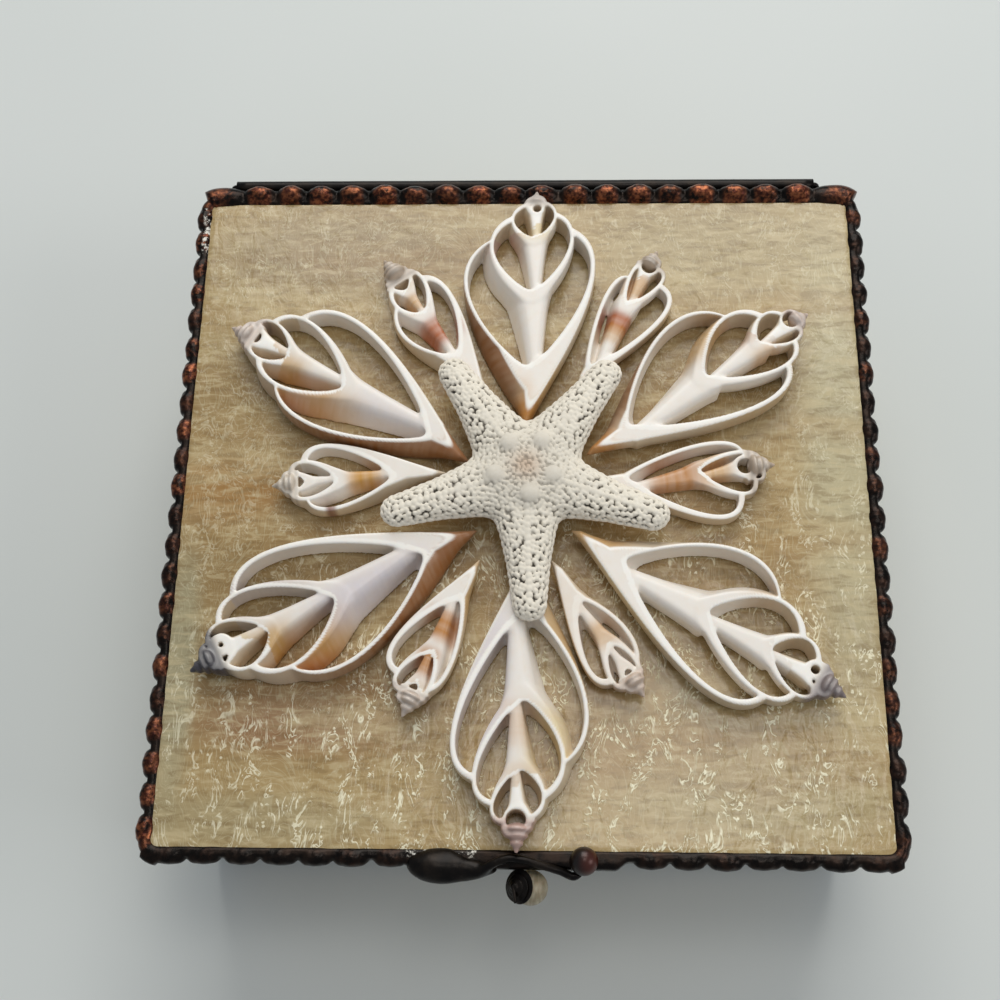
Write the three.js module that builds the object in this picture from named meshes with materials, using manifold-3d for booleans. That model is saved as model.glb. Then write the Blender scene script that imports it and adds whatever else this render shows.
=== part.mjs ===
// Jewelry box of soldered opal glass. Its hinged lid carries a rosette of sliced sea shells
// with a starfish at the centre, inside a beaded rim. Millimetres, +Z up, front towards -Y.
// The origin is the centre of the underside. Lid pieces are placed from the centre of the
// lid pane's upper face.
import * as THREE from 'three';
import { mergeVertices } from 'three/addons/utils/BufferGeometryUtils.js';
import Module from 'manifold-3d';

const wasm = await Module();
wasm.setup();

// Driving dimensions: glass and solder. The base follows the lid pane, set in from its edges.
const LID_PANE = 152.4;
const PANE = 3;
const GAP = 0.3;
const SOLDER = 0.8;
const BASE_HEIGHT = 50;
const BASE_SIDE_INSET = 3.2;
const BASE_FRONT_INSET = 5.2;
const SEAM_ARM = 5.2;
const SEAM_FILLET = 5.8;
const SEAM_ROUND = 1.6;
const RING_HEIGHT = 4;
const FLOOR_LIP = 1.5;

// Driving dimensions: lid rim
const RIM_COVER = 1.2;
const RIM_LIP = 0.5;
const RIM_WALL = 1.1;
const RIM_ROUND = 2.5;
const BEAD_PITCH_SIDE = 6.8;
const BEAD_PITCH_ENDS = 7.75;
const BEAD_SPACE = 0.2;
const BEAD_HEIGHT = 4.3;
const BEAD_REACH = 3;
const BEAD_BACK_SHIFT = 0.4;
const CORNER_BEAD = 6.4;
const CORNER_LENGTH_BACK = 10.5;
const CORNER_INSET = 1.7;

// Driving dimensions: hinge
const HINGE_BEHIND_PANE = 5.4;
const HINGE_BELOW_FACE = 2.4;
const HINGE_STANDOFF = 3.8;
const TUBE_RADIUS = 1.6;
const TUBE_BORE = 1.1;
const TUBE_INSET_LEFT = 6;
const TUBE_INSET_RIGHT = 7.8;
const WIRE_RADIUS = 0.75;
const WIRE_LEG = 22;
const WIRE_CLEARANCE = 0.5;

// Driving dimensions: front pull, with distances out from the lid pane's front edge
const PULL_LEFT = -24;
const PULL_RIGHT = 19;
const LUMP = { x: -13.9, out: 1, length: 17.4, width: 8, height: 6.6 };
const LOOP_WIRE_RADIUS = 0.85;
const LOOP_HEIGHT = 2.1;
const BALL = { x: 12.8, out: 1.2, above: 1.2, radius: 2.9 };
const SNAIL = { x: 2.1, out: 5.9, below: 4.4, radius: 3.6 };
const COIL = { radius: 3.2, height: 2.2, turns: 3, facing: [-0.8, -0.05, 0.6] };
const PIN = { radius: 0.45, length: 3.2 };

// Driving dimensions: shells and starfish, laid out for a pane of ROSETTE_PANE
const ROSETTE_PANE = 152.4;
const LARGE_THICKNESS = 6;
const SMALL_THICKNESS = 4.5;
const GLUE = 0.25;
const SHELL_WALL = 1.15;
const STAR_CENTRE = { x: 0.6, y: 3 };
const STAR_ARMS = [
  { angle: -88, length: 32.1 },
  { angle: -18, length: 31.7 },
  { angle: 54, length: 32.8 },
  { angle: 123.5, length: 32.3 },
  { angle: 196.5, length: 31.9 },
];
const STAR_BODY_RADIUS = 12;
const STAR_BODY_HEIGHT = 6;
const STAR_ARM_WIDTH = 13;
const STAR_TIP_WIDTH = 6.6;
const STAR_ARM_HEIGHT = 5;
const STAR_TIP_HEIGHT = 3;
const STAR_STATIONS = [0, 0.3, 0.6, 0.85, 0.96, 1];
const STAR_ROUNDING_FROM = 0.85;

// Sliced shells. apex and aim give each one's place and direction on the lid, length runs from
// the apex to the narrow end. ends are the far points of the nested chambers, from the outer
// one in. A side's start, peak and width shape the outer whorl to the left and to the right
// of that direction. cut is how far above the shell's own axis its upper face lies, stem the
// radius of the central column and lean how far the column moves to the left per millimetre.
const SHELLS = {
  large_shell_back: {
    apex: [2.5, 76], aim: [0.5, 17], length: 62, ends: [47.5, 28.3, 14.3, 6.6],
    left: { start: 9.5, peak: 21, width: 14.3 }, right: { start: 10.5, peak: 24.5, width: 16 },
    cut: 2.2, stem: 2.3, lean: 0.03,
  },
  large_shell_back_right: {
    apex: [64, 43.5], aim: [14, 9], length: 61.5, ends: [50.5, 29.5, 14.8, 7],
    left: { start: 10.5, peak: 20.5, width: 13.1 }, right: { start: 13, peak: 26, width: 15.5 },
    cut: 1.8, stem: 2.3, lean: 0.045,
  },
  large_shell_front_right: {
    apex: [66.5, -44.5], aim: [11, -9], length: 67, ends: [54, 33.5, 18.5, 9.3],
    left: { start: 12.5, peak: 23, width: 14.7 }, right: { start: 17.5, peak: 31, width: 16 },
    cut: 1.8, stem: 2.4, lean: 0.045,
  },
  large_shell_front: {
    apex: [-0.7, -76.5], aim: [1, -18], length: 64, ends: [51, 31.7, 17.3, 9],
    left: { start: 13, peak: 22, width: 14.4 }, right: { start: 14, peak: 27.5, width: 14 },
    cut: 2, stem: 2.1, lean: 0.045,
  },
  large_shell_front_left: {
    apex: [-69.5, -40], aim: [-10, -8.5], length: 68, ends: [56, 35, 19.5, 10.2],
    left: { start: 13, peak: 24, width: 16.3 }, right: { start: 15.5, peak: 29.5, width: 14.9 },
    cut: 2.3, stem: 2.4, lean: 0.045,
  },
  large_shell_back_left: {
    apex: [-67, 40.5], aim: [-13, 8], length: 65, ends: [55, 32.5, 17.5, 9.8],
    left: { start: 11.5, peak: 23.5, width: 15.8 }, right: { start: 14.5, peak: 27.5, width: 12 },
    cut: 2.3, stem: 2.3, lean: 0.045,
  },
  small_shell_back_left: {
    apex: [-33, 58.1], aim: [-11, 27.6], length: 43, ends: [31, 17.8, 10.5],
    left: { start: 8.5, peak: 15.5, width: 7.9 }, right: { start: 9, peak: 19, width: 8 },
    cut: 1.3, stem: 1.3, lean: -0.02,
  },
  small_shell_back_right: {
    apex: [30.5, 60.2], aim: [13, 27.6], length: 41, ends: [34.5, 16.7, 7.4],
    left: { start: 7.5, peak: 13.5, width: 9.5 }, right: { start: 8, peak: 15, width: 5.6 },
    cut: 1.2, stem: 1.5, lean: 0.06,
  },
  small_shell_right: {
    apex: [54.8, 7.1], aim: [16, 3.1], length: 40, ends: [33, 17.3, 8.8],
    left: { start: 7.5, peak: 13, width: 11.8 }, right: { start: 5, peak: 13, width: 6.7 },
    cut: 1.2, stem: 1.5, lean: 0.08,
  },
  small_shell_front_right: {
    apex: [25.4, -44.6], aim: [7, -16.5], length: 36, ends: [25.3, 13.7, 7.6],
    left: { start: 5.5, peak: 10.5, width: 7.3 }, right: { start: 4, peak: 13, width: 5.4 },
    cut: 1.1, stem: 1.1, lean: 0.03,
  },
  small_shell_front_left: {
    apex: [-24.6, -49.1], aim: [-8.5, -13.5], length: 38, ends: [28.5, 15.6, 8.2],
    left: { start: 7, peak: 12.5, width: 9 }, right: { start: 5, peak: 13, width: 5.2 },
    cut: 1.2, stem: 1.25, lean: 0.045,
  },
  small_shell_left: {
    apex: [-55.2, 1.8], aim: [-15, 5.1], length: 39, ends: [27.3, 15, 8],
    left: { start: 6.3, peak: 12, width: 8.8 }, right: { start: 6, peak: 12.5, width: 7.4 },
    cut: 1.2, stem: 1.25, lean: 0.03,
  },
};

// Law of growth that the shells share: a whorl's sizes against its reach, and its outlines
const GROWTH = 0.85;
const TAPER_OUTER = 1.2;
const TAPER_CHAMBER = 0.95;
const TAPER_GOBLET = 0.8;
const LOBE_CROWDING = 1.7;
const CHAMBER_START = 1.2;
const CHAMBERS_CUT = 3;
const COLUMN_FLARE = 1.55;
const COLUMN_TAPER = 0.8;
const SPIRE_SHARE = 0.7;
const SPIRE_BLUNT = 0.3;
const WALL_MIN = 0.55;
const GOBLET_FOOT = 3;
const SPIRE_SLOPE = 0.55;
const OUTLINE_ROWS = { large: 9, small: 7 };
const OUTLINE_ROWS_LEAST = 5;

// How far a cutting block runs past the piece that it cuts
const PAST = 1;

// Places worked out from the driving dimensions
const halfWidth = LID_PANE / 2 - BASE_SIDE_INSET;
const halfDepth = (LID_PANE - BASE_FRONT_INSET + HINGE_BEHIND_PANE - HINGE_STANDOFF) / 2;
const baseTop = BASE_HEIGHT;
const lidFace = baseTop + GAP + RIM_LIP + GAP + PANE;
const hingeY = halfDepth + HINGE_STANDOFF;
const lidY = hingeY - LID_PANE / 2 - HINGE_BEHIND_PANE;
const rimBottom = baseTop + GAP - lidFace;
const rimTop = GAP + RIM_LIP;
const rimSlot = LID_PANE / 2 + GAP;
const rimInner = LID_PANE / 2 - RIM_COVER;
const rimOuter = rimSlot + RIM_WALL;
const hingeLocalY = LID_PANE / 2 + HINGE_BEHIND_PANE;
const tubeLeft = TUBE_INSET_LEFT - LID_PANE / 2;
const tubeRight = LID_PANE / 2 - TUBE_INSET_RIGHT;
const rimMiddle = (rimBottom + rimTop) / 2;

const finish = (colour, roughness, metalness, opacity = 1) => new THREE.MeshStandardMaterial({
  color: colour, roughness, metalness, opacity, transparent: opacity < 1,
});
const glassFinish = finish(0xc9b58c, 0.15, 0);
const patinaFinish = finish(0x2b2320, 0.4, 0.8);
const shellFinish = finish(0xefe6d8, 0.35, 0);
const starFinish = finish(0xdfd8cb, 0.85, 0);
const ballFinish = finish(0x3a1f18, 0.3, 0.2);

// Solids: a closed geometry becomes a solid for cutting, and a solid becomes a mesh again
function toSolid(geometry) {
  const bare = geometry.index ? geometry.toNonIndexed() : geometry.clone();
  bare.deleteAttribute('normal');
  bare.deleteAttribute('uv');
  const merged = mergeVertices(bare, 1e-4);
  return new wasm.Manifold(new wasm.Mesh({
    numProp: 3,
    vertProperties: new Float32Array(merged.attributes.position.array),
    triVerts: new Uint32Array(merged.index.array),
  }));
}

function toGeometry(solid) {
  const mesh = solid.getMesh();
  const geometry = new THREE.BufferGeometry();
  geometry.setAttribute('position', new THREE.BufferAttribute(mesh.vertProperties, 3));
  geometry.setIndex(new THREE.BufferAttribute(mesh.triVerts, 1));
  geometry.computeVertexNormals();
  return geometry;
}

// A block between two corners
function block(x0, x1, y0, y1, z0, z1) {
  const geometry = new THREE.BoxGeometry(x1 - x0, y1 - y0, z1 - z0);
  return geometry.translate((x0 + x1) / 2, (y0 + y1) / 2, (z0 + z1) / 2);
}

// A rectangle with rounded corners, as a shape or as a hole
function roundedRectangle(halfX, halfY, radius, path = new THREE.Shape()) {
  const corners = [[1, -1, -90], [1, 1, 0], [-1, 1, 90], [-1, -1, 180]];
  path.moveTo(-halfX + radius, -halfY);
  for (const [sx, sy, from] of corners) {
    const start = THREE.MathUtils.degToRad(from);
    const x = sx * (halfX - radius);
    const y = sy * (halfY - radius);
    if (radius > 0) path.absarc(x, y, radius, start, start + Math.PI / 2, false);
    else path.lineTo(x, y);
  }
  return path;
}

// A flat frame: a rounded rectangle with a square hole, between two heights
function frame(outerX, outerY, radius, innerX, innerY, z0, z1) {
  const shape = roundedRectangle(outerX, outerY, radius);
  shape.holes.push(roundedRectangle(innerX, innerY, 0, new THREE.Path()));
  const options = { depth: z1 - z0, bevelEnabled: false, curveSegments: 3 };
  return new THREE.ExtrudeGeometry(shape, options).translate(0, 0, z0);
}

// A straight round bar between two points, tapering from one radius to the other
function bar(from, to, radiusFrom, radiusTo, sides) {
  const a = new THREE.Vector3(...from);
  const b = new THREE.Vector3(...to);
  const geometry = new THREE.CylinderGeometry(radiusTo, radiusFrom, a.distanceTo(b), sides);
  const turn = new THREE.Quaternion().setFromUnitVectors(
    new THREE.Vector3(0, 1, 0), b.clone().sub(a).normalize());
  geometry.applyQuaternion(turn);
  const middle = a.add(b).multiplyScalar(0.5);
  return geometry.translate(middle.x, middle.y, middle.z);
}

// A round wire along a curve
function wire(points, radius, sides, steps) {
  const curve = new THREE.CatmullRomCurve3(points.map((p) => new THREE.Vector3(...p)));
  const section = new THREE.Shape();
  section.absarc(0, 0, radius, 0, 2 * Math.PI, false);
  const options = { steps, extrudePath: curve, bevelEnabled: false, curveSegments: sides };
  return new THREE.ExtrudeGeometry(section, options);
}

// A rounded lump: a ball stretched to three full sizes
function lump(x, y, z, length, width, height, around = 6, along = 4) {
  const geometry = new THREE.SphereGeometry(0.5, around, along).rotateZ(Math.PI / 2);
  return geometry.scale(length, width, height).translate(x, y, z);
}

// Base: four wall panes, the floor pane, a solder seam up each corner, and a channel of
// solder round the top and bottom edges
const channelInner = PANE + GAP + SOLDER;
const seamCore = PANE + 2 * GAP;
const wallBottom = SOLDER + GAP;
const wallTop = baseTop - SOLDER - GAP;

function wallPane(alongX, side) {
  const end = seamCore + GAP;
  if (alongX) {
    const y = side > 0 ? halfDepth - PANE : -halfDepth;
    return block(-halfWidth + end, halfWidth - end, y, y + PANE, wallBottom, wallTop);
  }
  const x = side > 0 ? halfWidth - PANE : -halfWidth;
  return block(x, x + PANE, -halfDepth + end, halfDepth - end, wallBottom, wallTop);
}

function floorPane() {
  const inset = channelInner + GAP;
  return block(-halfWidth + inset, halfWidth - inset, -halfDepth + inset, halfDepth - inset, 0, PANE);
}

// The seam's section, with distances measured inwards from the outer corner of the glass
function cornerSeam(sx, sy) {
  const inside = PANE + GAP;
  const shape = new THREE.Shape();
  const put = (across, along) => [sx * (halfWidth - across), sy * (halfDepth - along)];
  shape.moveTo(...put(-SOLDER, SEAM_ARM));
  shape.lineTo(...put(-SOLDER, SEAM_ROUND - SOLDER));
  shape.quadraticCurveTo(...put(-SOLDER, -SOLDER), ...put(SEAM_ROUND - SOLDER, -SOLDER));
  for (const [across, along] of [
    [SEAM_ARM, -SOLDER], [SEAM_ARM, -GAP], [seamCore, -GAP], [seamCore, inside],
    [SEAM_FILLET, inside], [SEAM_FILLET, inside + SOLDER],
    [inside + SOLDER, SEAM_FILLET], [inside, SEAM_FILLET], [inside, seamCore],
    [-GAP, seamCore], [-GAP, SEAM_ARM],
  ]) shape.lineTo(...put(across, along));
  const from = RING_HEIGHT + SOLDER + GAP;
  const to = baseTop - RING_HEIGHT - GAP;
  const options = { depth: to - from, bevelEnabled: false, curveSegments: 4 };
  return new THREE.ExtrudeGeometry(shape, options).translate(0, 0, from);
}

// A channel of solder over the edges of the four wall panes
function edgeChannel(z0, z1, slotFrom, slotTo) {
  const outer = toSolid(frame(halfWidth + SOLDER, halfDepth + SOLDER, SEAM_ROUND,
    halfWidth - channelInner, halfDepth - channelInner, z0, z1));
  const slot = toSolid(frame(halfWidth + GAP, halfDepth + GAP, 0,
    halfWidth - PANE - GAP, halfDepth - PANE - GAP, slotFrom, slotTo));
  return outer.subtract(slot);
}

function topChannel() {
  const lower = baseTop - RING_HEIGHT;
  return toGeometry(edgeChannel(lower, baseTop, lower - PAST, baseTop - SOLDER));
}

function bottomChannel() {
  const upper = RING_HEIGHT + SOLDER;
  const inner = channelInner + FLOOR_LIP;
  const lip = toSolid(frame(halfWidth - channelInner + GAP, halfDepth - channelInner + GAP, 0,
    halfWidth - inner, halfDepth - inner, PANE + GAP, upper));
  return toGeometry(edgeChannel(0, upper, SOLDER, upper + PAST).add(lip));
}

// The hinge wire lies in the tube, and its two legs run down to the back corner seams
function hingeWire() {
  const z = lidFace - HINGE_BELOW_FACE;
  const seamX = halfWidth - SOLDER;
  const seamY = halfDepth + SOLDER + WIRE_RADIUS + GAP;
  const bend = 2 * WIRE_RADIUS;
  const left = tubeLeft - GAP - WIRE_RADIUS;
  const right = tubeRight + GAP + WIRE_RADIUS;
  const under = baseTop - bend;
  const legs = [[left, -seamX], [right, seamX]];
  let solid = toSolid(bar([left, hingeY, z], [right, hingeY, z], WIRE_RADIUS, WIRE_RADIUS, 8));
  for (const [x, footX] of legs) {
    const leg = wire([
      [x, hingeY, z + WIRE_RADIUS], [x, hingeY, z - bend], [x, hingeY, under],
      [(x + footX) / 2, (hingeY + seamY) / 2, under - 3 * bend],
      [footX, seamY, under - 5 * bend], [footX, seamY, z - WIRE_LEG],
    ], WIRE_RADIUS, 3, 8);
    solid = solid.add(toSolid(leg));
  }
  return toGeometry(solid);
}

// Lid: the rim is a channel round the pane, with a row of beads along its outside
function beadPlaces(pitch, skipFrom = 0, skipTo = 0) {
  const room = 2 * (rimInner - CORNER_BEAD / 2);
  const count = Math.round(room / pitch);
  const places = [];
  for (let i = 0; i <= count; i += 1) {
    const place = -room / 2 + (room * i) / count;
    if (place < skipFrom || place > skipTo || skipFrom === skipTo) places.push(place);
  }
  return places;
}

function beadedRim() {
  const reach = LID_PANE / 2 + BEAD_REACH - rimOuter;
  const back = rimOuter + BEAD_BACK_SHIFT;
  const beads = [];
  const bead = (x, y, turn, length) => {
    const ball = new THREE.SphereGeometry(1, 6, 4).rotateY(Math.PI / 6);
    ball.scale(reach / Math.cos(Math.PI / 6), length / 2, BEAD_HEIGHT / 2);
    return ball.rotateZ(THREE.MathUtils.degToRad(turn)).translate(x, y, rimMiddle);
  };
  for (const side of [-1, 1]) {
    for (const y of beadPlaces(BEAD_PITCH_SIDE)) {
      beads.push(bead(side * rimOuter, y, 0, BEAD_PITCH_SIDE - BEAD_SPACE));
    }
  }
  for (const x of beadPlaces(BEAD_PITCH_ENDS)) {
    beads.push(bead(x, back, 90, BEAD_PITCH_ENDS - BEAD_SPACE));
  }
  for (const x of beadPlaces(BEAD_PITCH_ENDS, PULL_LEFT, PULL_RIGHT)) {
    beads.push(bead(x, -rimOuter, 90, BEAD_PITCH_ENDS - BEAD_SPACE));
  }
  const corner = rimOuter - CORNER_INSET;
  const cornerBack = rimOuter + reach - CORNER_LENGTH_BACK / 2;
  for (const side of [-1, 1]) {
    beads.push(lump(side * corner, -corner, rimMiddle, CORNER_BEAD, CORNER_BEAD, BEAD_HEIGHT));
    beads.push(lump(side * cornerBack, corner, rimMiddle, CORNER_LENGTH_BACK, CORNER_BEAD, BEAD_HEIGHT));
  }
  let solid = toSolid(frame(rimOuter, rimOuter, RIM_ROUND, rimInner, rimInner, rimBottom, rimTop));
  solid = solid.add(wasm.Manifold.union(beads.map(toSolid)));
  const far = rimOuter + BEAD_REACH;
  const above = rimTop + CORNER_BEAD;
  solid = solid.subtract(toSolid(block(-rimInner, rimInner, -rimInner, rimInner, -far, above)));
  solid = solid.subtract(toSolid(block(-rimSlot, rimSlot, -rimSlot, rimSlot, -PANE - GAP, GAP)));
  const seat = [hingeLocalY, -HINGE_BELOW_FACE];
  const cutTube = TUBE_RADIUS + GAP;
  const cutWire = WIRE_RADIUS + WIRE_CLEARANCE;
  solid = solid.subtract(toSolid(bar([tubeLeft - GAP, ...seat], [tubeRight + GAP, ...seat],
    cutTube, cutTube, 12)));
  return toGeometry(solid.subtract(toSolid(bar([-far, ...seat], [far, ...seat], cutWire, cutWire, 8))));
}

function lidPane() {
  const half = LID_PANE / 2;
  return block(-half, half, -half, half, -PANE, 0);
}

// A thin tube with a bore, round the hinge wire
function hingeTube() {
  const section = new THREE.Shape();
  section.absarc(0, 0, TUBE_RADIUS, 0, 2 * Math.PI, false);
  const bore = new THREE.Path();
  bore.absarc(0, 0, TUBE_BORE, 0, 2 * Math.PI, true);
  section.holes.push(bore);
  const options = { depth: tubeRight - tubeLeft, bevelEnabled: false, curveSegments: 9 };
  const tube = new THREE.ExtrudeGeometry(section, options).rotateY(Math.PI / 2);
  return tube.translate(tubeLeft, hingeLocalY, -HINGE_BELOW_FACE);
}

// Front pull: a lump of solder drawn out into a wire that loops over a little snail shell
// and ends under a ball. Each piece is cut clear of the rim.
const frontEdge = (out) => -LID_PANE / 2 - out;

function clearOfRim(solid) {
  const keep = rimOuter + GAP;
  return solid.subtract(toSolid(block(-keep, keep, -keep, keep, rimBottom - LID_PANE, rimTop + GAP)));
}

// The drawn wire rises over the rim's outer edge and comes down in front of the ball
function pullWire() {
  const z = rimMiddle;
  const ballY = frontEdge(BALL.out);
  const lumpY = frontEdge(LUMP.out);
  const edge = -rimOuter;
  const path = [
    [LUMP.x, edge - 2, z], [LUMP.x + 5.6, edge - 1.9, z + 1.4], [LUMP.x + 7.8, edge - 0.9, z + 2.9],
    [LUMP.x + 11.4, edge + 0.5, LOOP_HEIGHT], [SNAIL.x - 1.4, edge + 0.2, LOOP_HEIGHT],
    [SNAIL.x + 2, edge - 0.7, LOOP_HEIGHT - 0.5], [SNAIL.x + 6, edge - 1.7, LOOP_HEIGHT - 1.9],
    [BALL.x - 1.8, ballY - 2.8, LOOP_HEIGHT - 2.5], [BALL.x, ballY - 1, BALL.above - 0.6],
  ];
  const drawn = toSolid(wire(path, LOOP_WIRE_RADIUS, 3, 14));
  const blob = toSolid(lump(LUMP.x, lumpY, z, LUMP.length, LUMP.width, LUMP.height, 8, 6));
  const ball = new THREE.SphereGeometry(BALL.radius + GAP, 8, 6).translate(BALL.x, ballY, BALL.above);
  return toGeometry(clearOfRim(drawn.add(blob)).subtract(toSolid(ball)));
}

function pullBall() {
  const ball = new THREE.SphereGeometry(BALL.radius, 9, 6);
  return toGeometry(clearOfRim(toSolid(ball.translate(BALL.x, frontEdge(BALL.out), BALL.above))));
}

function pullSnail() {
  const snail = new THREE.SphereGeometry(SNAIL.radius, 9, 6);
  return toGeometry(clearOfRim(toSolid(snail.translate(SNAIL.x, frontEdge(SNAIL.out), -SNAIL.below))));
}

// A ridged cone of wound wire on the snail shell's spire, with its end left out as a pin
function pullCoil() {
  const { radius, height, turns, facing } = COIL;
  const foot = SNAIL.radius + GAP;
  const profile = [[0, foot]];
  for (let i = 0; i < turns; i += 1) {
    const ridge = radius * (1 - i / (turns + 0.5));
    profile.push([ridge * 0.86, foot + (height * i) / turns]);
    profile.push([ridge, foot + (height * (i + 0.5)) / turns]);
  }
  profile.push([0, foot + height]);
  const points = profile.map(([r, h]) => new THREE.Vector2(r, h));
  const cone = new THREE.LatheGeometry(points, 8);
  const axis = new THREE.Vector3(...facing).normalize();
  cone.applyQuaternion(new THREE.Quaternion().setFromUnitVectors(new THREE.Vector3(0, 1, 0), axis));
  const top = axis.multiplyScalar(foot + 0.8 * height).toArray();
  const pin = bar(top, [top[0], top[1] - PIN.length, top[2]], PIN.radius, PIN.radius / 2, 6);
  return toGeometry(toSolid(cone).add(toSolid(pin))).translate(SNAIL.x, frontEdge(SNAIL.out), -SNAIL.below);
}

// Shell slices. Each is a flat cut through a spiral shell: u runs along the shell's axis, v to
// its left and h through the slice. A whorl's outline bulges to its width on each side.
function lobe(side, end, taper, rows) {
  const peak = (side.peak - side.start) / (end - side.start);
  const rise = (taper * peak) / (1 - peak);
  const top = peak ** rise * (1 - peak) ** taper;
  const points = [];
  for (let i = 1; i < rows; i += 1) {
    const share = (i / rows) ** LOBE_CROWDING;
    const radius = (side.width * share ** rise * (1 - share) ** taper) / top;
    points.push([side.start + share * (end - side.start), radius]);
  }
  return points;
}

function flat(outline, h0, h1) {
  const shape = new THREE.Shape(outline.map(([u, v]) => new THREE.Vector2(u, v)));
  const options = { depth: h1 - h0, bevelEnabled: false };
  return toSolid(new THREE.ExtrudeGeometry(shape, options).translate(0, 0, h0));
}

function whorl(left, right, end, taper, rows, h0, h1) {
  const near = lobe(left, end, taper, rows);
  const far = lobe(right, end, taper, rows).map(([u, v]) => [u, -v]).reverse();
  return flat([[(left.start + right.start) / 2, 0], ...near, [end, 0], ...far], h0, h1);
}

// The central column between two chambers' ends, or the spire from the apex
function column(from, to, halfFrom, halfTo, h0, h1) {
  const [[u0, v0], [u1, v1]] = [from, to];
  return flat([[u0, v0 - halfFrom], [u1, v1 - halfTo], [u1, v1 + halfTo], [u0, v0 + halfFrom]], h0, h1);
}

function scaledSide(side, scale, inset) {
  return {
    start: side.start * scale + CHAMBER_START * inset,
    peak: side.peak * scale,
    width: side.width * scale - inset,
  };
}

function shellSlice(shell, thickness, outlineRows) {
  const { ends, length, stem, lean, cut } = shell;
  const under = cut - thickness;
  let solid = null;
  ends.slice(0, CHAMBERS_CUT).forEach((end, level) => {
    const scale = (end / ends[0]) ** GROWTH;
    const wall = Math.max(WALL_MIN, SHELL_WALL * Math.sqrt(scale));
    const outerEnd = level === 0 ? length : end + GOBLET_FOOT * wall;
    const taper = level === 0 ? TAPER_OUTER : TAPER_GOBLET;
    const rows = Math.max(OUTLINE_ROWS_LEAST, outlineRows - 2 * level);
    const left = scaledSide(shell.left, scale, 0);
    const right = scaledSide(shell.right, scale, 0);
    const outer = whorl(left, right, outerEnd, taper, rows, under, cut);
    if (level === 0) {
      solid = outer;
    } else {
      const before = ends[level - 1];
      const radius = stem * Math.sqrt(before / ends[0]);
      solid = solid.add(outer).add(column([end - 1, lean * end / 2], [before, lean * before],
        radius * COLUMN_FLARE, radius * COLUMN_TAPER, under, cut));
    }
    solid = solid.subtract(whorl(scaledSide(shell.left, scale, wall),
      scaledSide(shell.right, scale, wall), end, TAPER_CHAMBER, rows - 1, under - PAST, cut + PAST));
  });
  const tip = SPIRE_SHARE * ends[Math.min(ends.length, CHAMBERS_CUT) - 1];
  solid = solid.add(column([0, 0], [tip, 0], SPIRE_BLUNT, SPIRE_SLOPE * tip, under, cut));
  const nose = bar([0, 0, 0], [tip, 0, 0], SPIRE_BLUNT, thickness, 6);
  const rest = block(tip - SPIRE_BLUNT, length + SHELL_WALL, -length, length, under, cut);
  return toGeometry(solid.intersect(toSolid(nose).add(toSolid(rest))));
}

// Starfish: five tapering arms with round ends, joined under a low dome
function starArm({ angle, length }) {
  const around = 5;
  const blunt = 0.25;
  const { lerp } = THREE.MathUtils;
  const points = [];
  for (const share of STAR_STATIONS) {
    const past = Math.max(0, (share - STAR_ROUNDING_FROM) / (1 - STAR_ROUNDING_FROM));
    const round = Math.max(blunt, Math.sqrt(1 - past ** 2));
    const half = (lerp(STAR_ARM_WIDTH, STAR_TIP_WIDTH, share ** 0.8) / 2) * round;
    const high = lerp(STAR_ARM_HEIGHT, STAR_TIP_HEIGHT, share) * lerp(0.4, 1, round);
    for (let j = 0; j <= around; j += 1) {
      const turn = (Math.PI * j) / around;
      points.push([share * length, -half * Math.cos(turn), high * Math.sin(turn)]);
    }
  }
  const ring = around + 1;
  const last = STAR_STATIONS.length - 1;
  const faces = [];
  for (let i = 0; i < last; i += 1) {
    for (let j = 0; j < ring; j += 1) {
      const next = (j + 1) % ring;
      const a = i * ring;
      const b = a + ring;
      faces.push(a + j, b + next, a + next, a + j, b + j, b + next);
    }
  }
  for (let j = 1; j < ring - 1; j += 1) {
    faces.push(0, j, j + 1);
    faces.push(last * ring, last * ring + j + 1, last * ring + j);
  }
  const geometry = new THREE.BufferGeometry();
  geometry.setAttribute('position', new THREE.Float32BufferAttribute(points.flat(), 3));
  geometry.setIndex(faces);
  return geometry.rotateZ(THREE.MathUtils.degToRad(angle));
}

function starfish() {
  const dome = new THREE.SphereGeometry(1, 10, 6).rotateX(Math.PI / 2);
  dome.scale(STAR_BODY_RADIUS, STAR_BODY_RADIUS, STAR_BODY_HEIGHT);
  const far = STAR_BODY_RADIUS * 2;
  const below = toSolid(block(-far, far, -far, far, -far, 0));
  let solid = toSolid(dome).subtract(below);
  for (const arm of STAR_ARMS) solid = solid.add(toSolid(starArm(arm)));
  return toGeometry(solid);
}

// Assembly
const box = new THREE.Group();
const lid = new THREE.Group();
const rosette = new THREE.Group();
lid.position.set(0, lidY, lidFace);
rosette.scale.set(LID_PANE / ROSETTE_PANE, LID_PANE / ROSETTE_PANE, 1);
lid.add(rosette);
box.add(lid);

function place(parent, name, geometry, material) {
  const mesh = new THREE.Mesh(geometry, material);
  mesh.name = name;
  parent.add(mesh);
  return mesh;
}

place(box, 'front_glass', wallPane(true, -1), glassFinish);
place(box, 'back_glass', wallPane(true, 1), glassFinish);
place(box, 'left_glass', wallPane(false, -1), glassFinish);
place(box, 'right_glass', wallPane(false, 1), glassFinish);
place(box, 'floor_glass', floorPane(), glassFinish);
for (const [name, sx, sy] of [
  ['front_left', -1, -1], ['front_right', 1, -1], ['back_left', -1, 1], ['back_right', 1, 1],
]) place(box, `seam_${name}`, cornerSeam(sx, sy), patinaFinish);
place(box, 'top_channel', topChannel(), patinaFinish);
place(box, 'bottom_channel', bottomChannel(), patinaFinish);
place(box, 'hinge_wire', hingeWire(), patinaFinish);

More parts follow.
